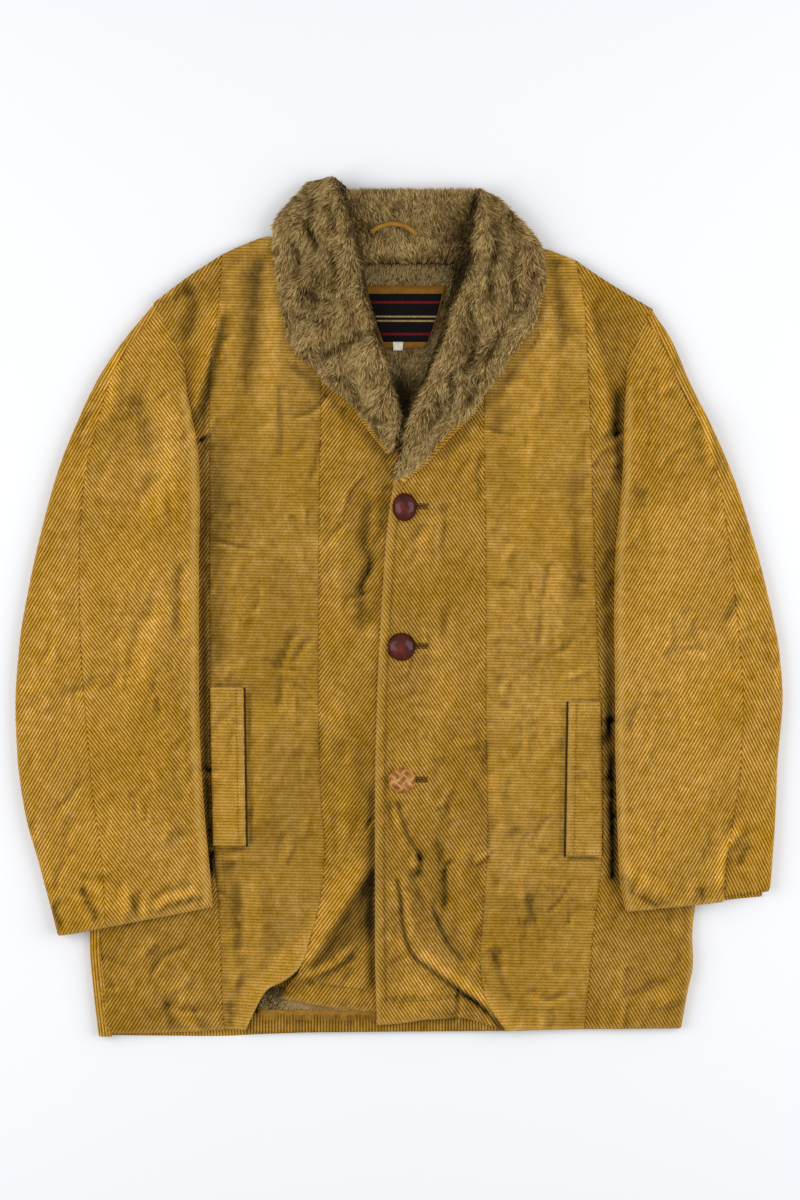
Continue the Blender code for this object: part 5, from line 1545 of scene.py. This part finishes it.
ThinCut = namedtuple("ThinCut", "name slot finish height depth left right")
THIN_CUTS = [
    ThinCut("label_patch", "label_patch", patch_cloth, 12.6, 0.8, [(364, 286), (372, 318), (382, 348)],
            [(446, 286), (438, 318), (424, 348)]),
    ThinCut("label", "label", striped_label("striped_label"), 13.3, 0.6, [(368, 294), (375, 318), (384, 342)],
            [(442, 294), (436, 318), (427, 342)]),
    ThinCut("size_tab", "size_tab", tab_cloth, 12.9, 0.5, [(392.5, 337), (393.5, 350.5)],
            [(403.5, 337), (402.5, 350.5)]),
    ThinCut("hem_tape", "tape", tape_cloth, 6.0, 0.8, [(258, 1010.5), (255, 1020.8)],
            [(380, 1012.0), (380, 1022.2)]),
]
for cut in THIN_CUTS:
    piece, grid = thin_cut(cut.name, cut.left, cut.right, cut.height, cut.depth, cut.finish)
    wear_on(piece, cut.slot, cut.name)
    declare_grid(grid, ["neck_lining" if cut.name != "hem_tape" else "back"])

FACING_TOP, SLIVER_TOP = 6.2, 4.8
facing_outline = outline_of([(250, 1014), (247, 1034)], [(502, 1016), (512, 1032)],
                            [(330, 1014.5), (372, 1015), (430, 1014)], [(335, 1033.3), (435, 1032.4)])


def on_facing(flat, rise):
    return metres(flat, FACING_TOP + rise)


# A darker band across the facing just below the hems of the fronts: painted shade.
facing = sew("hem_facing", [cut_panel(facing_outline, 90, on_facing, 1.0, unevenness, spots=[
    Spot(380, 1018, 140, 5, -0.3)], tone=-0.27)], ochre)
wear_on(facing, "corduroy", "hem_facing")
declare(facing, facing_outline)

v_line, u_line = np.meshgrid(np.linspace(0, 1, 12), np.linspace(0, 1, 40), indexing="ij")
sliver = blended([(258, 986), (258, 1011)], [(378, 1003), (378, 1012)], (), (),
                 u_line.ravel(), v_line.ravel())
sliver = np.column_stack([sliver, np.full(len(sliver), SLIVER_TOP)]).reshape(*u_line.shape, 3)
# Painted shade in the corner under the fold of the right front; the second line lightens the lining's own
# tone along the sliver.
corner = [Fold([(264, 986), (280, 996)], -0.60, -0.50, 4), Fold([(276, 1004), (384, 1010)], 0.75, 0.65, 8)]
lay_plush(Plush("hem_lining", sliver, False, 0.2, corner, 0.0, 1.2e6, 0.0022, 0.0004, 0.85, 22, ["back"]),
          "lining_pile", lining_plush)

# %% Hanger loop
LOOP_PATH = [(371, 233), (380, 228), (392, 225), (404, 227), (417, 236)]
LOOP_HALF = 2.1


def loop_patch(steps=40, sides=12):
    """A flat tape arched over the stand, as a closed band of oval section"""
    line = smooth(LOOP_PATH, lengths(np.array(LOOP_PATH, float))[-1] / (steps - 1))
    arch = 20.0 + 1.5 * np.sin(np.linspace(0, np.pi, len(line)))
    turns = np.linspace(0, 2 * np.pi, sides, endpoint=False)
    ahead = np.gradient(line, axis=0)
    normal = np.column_stack([-ahead[:, 1], ahead[:, 0]]) / np.linalg.norm(ahead, axis=1)[:, None]
    plan = line[:, None, :] + normal[:, None, :] * (LOOP_HALF * np.cos(turns))[None, :, None]
    height = arch[:, None] + 0.9 * np.sin(turns)[None, :]
    faces = [(r * sides + s, r * sides + (s + 1) % sides,
              (r + 1) * sides + (s + 1) % sides, (r + 1) * sides + s)
             for r in range(len(line) - 1) for s in range(sides)]
    faces += [tuple(range(sides))[::-1], tuple((len(line) - 1) * sides + s for s in range(sides))]
    blank = np.zeros(plan.shape[0] * sides)
    return Patch(metres(plan.reshape(-1, 2), height.ravel()), faces, np.zeros((len(blank), 2)), blank, blank)


loop = sew("hanger_loop", [loop_patch()], tape_cloth)
wear_on(loop, "tape", "hanger_loop")
loop_run = lengths(smooth(LOOP_PATH))[-1] * MM

# %% [markdown]
# ## Pockets, buttons and thread
#
# The two welts are separate strips of corduroy with level wales, stitched on the panels so that one
# long edge stands free over a slit, where a dark strip is painted shade inside the pocket. The upper
# buttons are leather domes; the lowest is a knot of four crossing leather strips. Stitches are many
# and alike, so Geometry Nodes set one small thread at every step along guide lines.

# %% Welts and pocket mouths
WELT_LIFT = 2.7
Welt = namedtuple("Welt", "side left right mouth form tone")
WELTS = [
    Welt("right", [(210.2, 687), (213, 846)], [(243.5, 687), (246, 846)],
         [(244.4, 687.5), (247, 847)], on_right, 0.02),
    Welt("left", [(568.5, 702), (566, 856)], [(600.5, 702), (602, 856)],
         [(567.4, 701.5), (564.8, 857)], on_left, -0.06),
]
# Dark cloth for the slits of the pockets and buttonholes: painted shade inside them.
slit_shade = woven("pocket_inside", linear(78, 52, 18), linear(50, 32, 10), 900.0, 0.95)
for welt in WELTS:
    outline = outline_of(welt.left, welt.right)

    def on_welt(flat, rise, form=welt.form):
        return form(flat, rise + WELT_LIFT)

    free_edges = [welt.right if welt.side == "right" else welt.left, [welt.left[-1], welt.right[-1]],
                  [welt.left[0], welt.right[0]]]
    piece = sew("welt_" + welt.side, [cut_panel(outline, 1, on_welt, 2.6, front_crumple, 2.6, 0.5,
                                                free_edges, tone=welt.tone)], smooth_ochre)
    wear_on(piece, "corduroy", "welt_" + welt.side)
    declare(piece, outline)
    # A dark strip beside the free edge of the welt: painted shade in the pocket's mouth.
    line = smooth(welt.mouth, 4.0)
    slit = [line - (0.9, 0), line + (0.9, 0)]
    flat = np.hstack(slit).reshape(-1, 2)
    blank = np.zeros(len(flat))
    strip = hemmed(flat, grid_faces(len(line), 2), flat / WALE, welt.form, blank + 0.75, 0.6, blank, blank)
    mouth = sew("pocket_mouth_" + welt.side, [strip], slit_shade)
    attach(mouth, "root")
    mouth_run = lengths(line)[-1] * MM

# %% Buttons
Button = namedtuple("Button", "name x y wide tall finish slot")
BUTTONS = [Button("button_1", 404.6, 507.3, 0.87, 1.0, burgundy, "dark_leather"),
           Button("button_2", 401.6, 646.7, 1.0, 1.0, burgundy, "dark_leather"),
           Button("button_3", 402.1, 780.0, 1.0, 0.9, tan, "tan_leather")]
BUTTON_BASE = 16.0
BUTTON_SIDES = 56
DOME = [(0.01, 9.3), (3.5, 9.1), (7.5, 8.3), (10.6, 6.8), (12.6, 4.9), (13.5, 3.6), (13.3, 3.1), (14.1, 2.6),
        (14.0, 1.6), (12.0, 0.8), (5.0, 0.3), (0.01, 0.3)]
STRIP = 9.0


def knot_rise(x, y):
    """Height of crossing leather strips, each over one neighbour and under the next, and their pale edges"""
    p, q = (x + y) / math.sqrt(2) / STRIP, (x - y) / math.sqrt(2) / STRIP
    over = (np.round(p) + np.round(q)) % 2 == 0
    first, second = p - np.round(p), q - np.round(q)
    across, along = np.where(over, second, first), np.where(over, first, second)
    rise = np.sqrt(1 - np.clip(2 * np.abs(across), 0, 1) ** 2) * (0.75 + 0.55 * np.cos(np.pi * along))
    return rise, np.exp(-((0.36 - np.abs(across)) / 0.1) ** 2)


def turned_button(button):
    profile = smooth(DOME, 0.7)
    turns = np.linspace(0, 2 * np.pi, BUTTON_SIDES, endpoint=False)
    x = profile[:, :1] * np.cos(turns)
    y = profile[:, :1] * np.sin(turns)
    top = np.arange(len(profile))[:, None] < len(profile) * 0.62
    z = np.repeat(profile[:, 1:], BUTTON_SIDES, axis=1)
    # A pale patch to one side of the top of a plain dome: painted highlight.
    wear = 0.45 * np.exp(-((x + 3) ** 2 + (y + 2) ** 2) / 60)
    if button.name == "button_3":
        knot, pale = knot_rise(x, y)
        knot = knot * top * ease(0, 2.5, 14.1 - profile[:, :1])
        z = z - 1.6 * top + 1.5 * knot
        wear = 0.75 * pale * top
    else:
        z = z + 0.18 * np.sin(x / 2.3 + 1.1 * np.sin(y / 3.1)) * np.sin(y / 2.7) * top
    rings = len(profile)
    sides = BUTTON_SIDES
    faces = [(r * sides + s, (r + 1) * sides + s, (r + 1) * sides + (s + 1) % sides,
              r * sides + (s + 1) % sides) for r in range(rings - 1) for s in range(sides)]
    faces += [tuple(range(sides)), tuple((rings - 1) * sides + s for s in range(sides))[::-1]]
    plan = np.column_stack([button.x + button.wide * x.ravel(), button.y - button.tall * y.ravel()])
    return Patch(metres(plan, BUTTON_BASE + z.ravel()), faces, plan / WALE, wear.ravel(),
                 np.zeros(wear.size))


for button in BUTTONS:
    piece = sew(button.name, [turned_button(button)], button.finish)
    wear_on(piece, button.slot, button.name)
    print(piece.name, "faces", len(piece.data.polygons))

# %% A tree that sets stitches along guide lines
stitch_tree, given, STITCH_KEYS = tree_with(
    "stitches", ("Stitch spacing", "NodeSocketFloat"), ("Stitch size", "NodeSocketVector"),
    ("Finish", "NodeSocketMaterial"))
guide = add(stitch_tree, "GeometryNodeMeshToCurve", {"Mesh": given["Geometry"]})
steps = add(stitch_tree, "GeometryNodeCurveToPoints", {
    "Curve": guide.outputs[0], "Length": given["Stitch spacing"]}, mode="LENGTH")
facing_line = add(stitch_tree, "FunctionNodeAlignRotationToVector", {
    "Vector": steps.outputs["Tangent"]}, axis="X")
ball = add(stitch_tree, "GeometryNodeMeshUVSphere", {"Segments": 6, "Rings": 4, "Radius": 0.5})
stitched = add(stitch_tree, "GeometryNodeInstanceOnPoints", {
    "Points": steps.outputs["Points"], "Instance": ball.outputs["Mesh"],
    "Rotation": facing_line.outputs["Rotation"], "Scale": given["Stitch size"]})
end_tree(stitch_tree, stitched.outputs[0], given["Finish"])


def stitched_along(name, lines, spacing, size, finish):
    """Stitches along guide lines of points in metres, as one piece"""
    mesh = bpy.data.meshes.new(name + "_guide")
    starts = np.cumsum([0] + [len(line) for line in lines])
    edges = [(start + k, start + k + 1) for start, line in zip(starts.tolist(), lines)
             for k in range(len(line) - 1)]
    mesh.from_pydata(np.vstack(lines).tolist(), edges, [])
    holder = link(name + "_guide", mesh)
    piece = grown(name, holder, stitch_tree, STITCH_KEYS, {
        "Stitch spacing": spacing, "Stitch size": size, "Finish": finish})
    bpy.data.objects.remove(holder)
    piece.data.shade_smooth()
    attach(piece, "root")
    return piece


# %% Topstitching
Run = namedtuple("Run", "form path lift")
FRONT_STITCH = [(x + 9.5, y) for x, y in LEFT_FRONT_EDGE[7:-1]] + [(386, 1000)]
RUNS = [
    Run(on_left, FRONT_STITCH, 0.5),
    Run(on_left, [(386, 1003), (430, 999), (462, 998)], 0.5),
    Run(on_left, [(520, 1010), (585, 1009), (640, 1010), (682, 1006)], 0.5),
    Run(on_right, [(112, 1012), (160, 1009), (222, 1005), (252, 1006)], 0.5),
    Run(on_right, [(304, 982), (340, 987), (372, 992)], 0.5),
    Run(on_right, [(236, 690), (238.4, 843)], WELT_LIFT + 0.5),
    Run(on_right, [(213, 690), (241, 690)], WELT_LIFT + 0.5),
    Run(on_right, [(216, 843), (243, 843)], WELT_LIFT + 0.5),
    Run(on_left, [(576.5, 705), (574, 853)], WELT_LIFT + 0.5),
    Run(on_left, [(571, 705), (598, 705)], WELT_LIFT + 0.5),
    Run(on_left, [(569, 853), (600, 853)], WELT_LIFT + 0.5),
    Run(on_right, [(222, 850), (226, 900)], 0.5),
]
guides = []
for run in RUNS:
    line = smooth(run.path, 3.0)
    guides.append(run.form(line, np.full(len(line), run.lift)))
stitched_along("topstitching", guides, 0.0036, (0.0026, 0.0007, 0.0006), thread)

# %% Buttonholes
HOLE_START, HOLE_END_X = 12.0, 428.0
holes, slits = [], []
for button in BUTTONS:
    level = button.y - 0.8
    for offset in (-1.5, 1.5):
        for step in np.arange(button.x + HOLE_START, HOLE_END_X, 1.1):
            ends = np.array([(step, level + offset * 0.35), (step, level + offset * 1.5)])
            holes.append(on_left(ends, np.full(2, 0.9)))
    x = np.arange(button.x + HOLE_START, HOLE_END_X + 0.5, 1.5)
    slits.append((np.column_stack([x, np.full(len(x), level)]), button))
stitched_along("buttonhole_stitches", holes, 0.0016, (0.0018, 0.0008, 0.0007), dark_thread)
for line, button in slits:
    # A dark strip under each buttonhole: painted shade in its slit.
    flat = np.hstack([line - (0, 0.6), line + (0, 0.6)]).reshape(-1, 2)
    blank = np.zeros(len(flat))
    strip = hemmed(flat, grid_faces(len(line), 2, True), flat / WALE, on_left, blank + 0.8, 0.5, blank, blank)
    slit = sew("buttonhole_" + button.name[-1], [strip], slit_shade)
    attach(slit, "root")
print("buttonholes:", len(slits))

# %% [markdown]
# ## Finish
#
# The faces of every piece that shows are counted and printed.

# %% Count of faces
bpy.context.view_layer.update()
total = sum(len(piece.data.polygons) for piece in bpy.data.objects
            if piece.type == "MESH" and not piece.hide_render)
print("faces in all:", total)
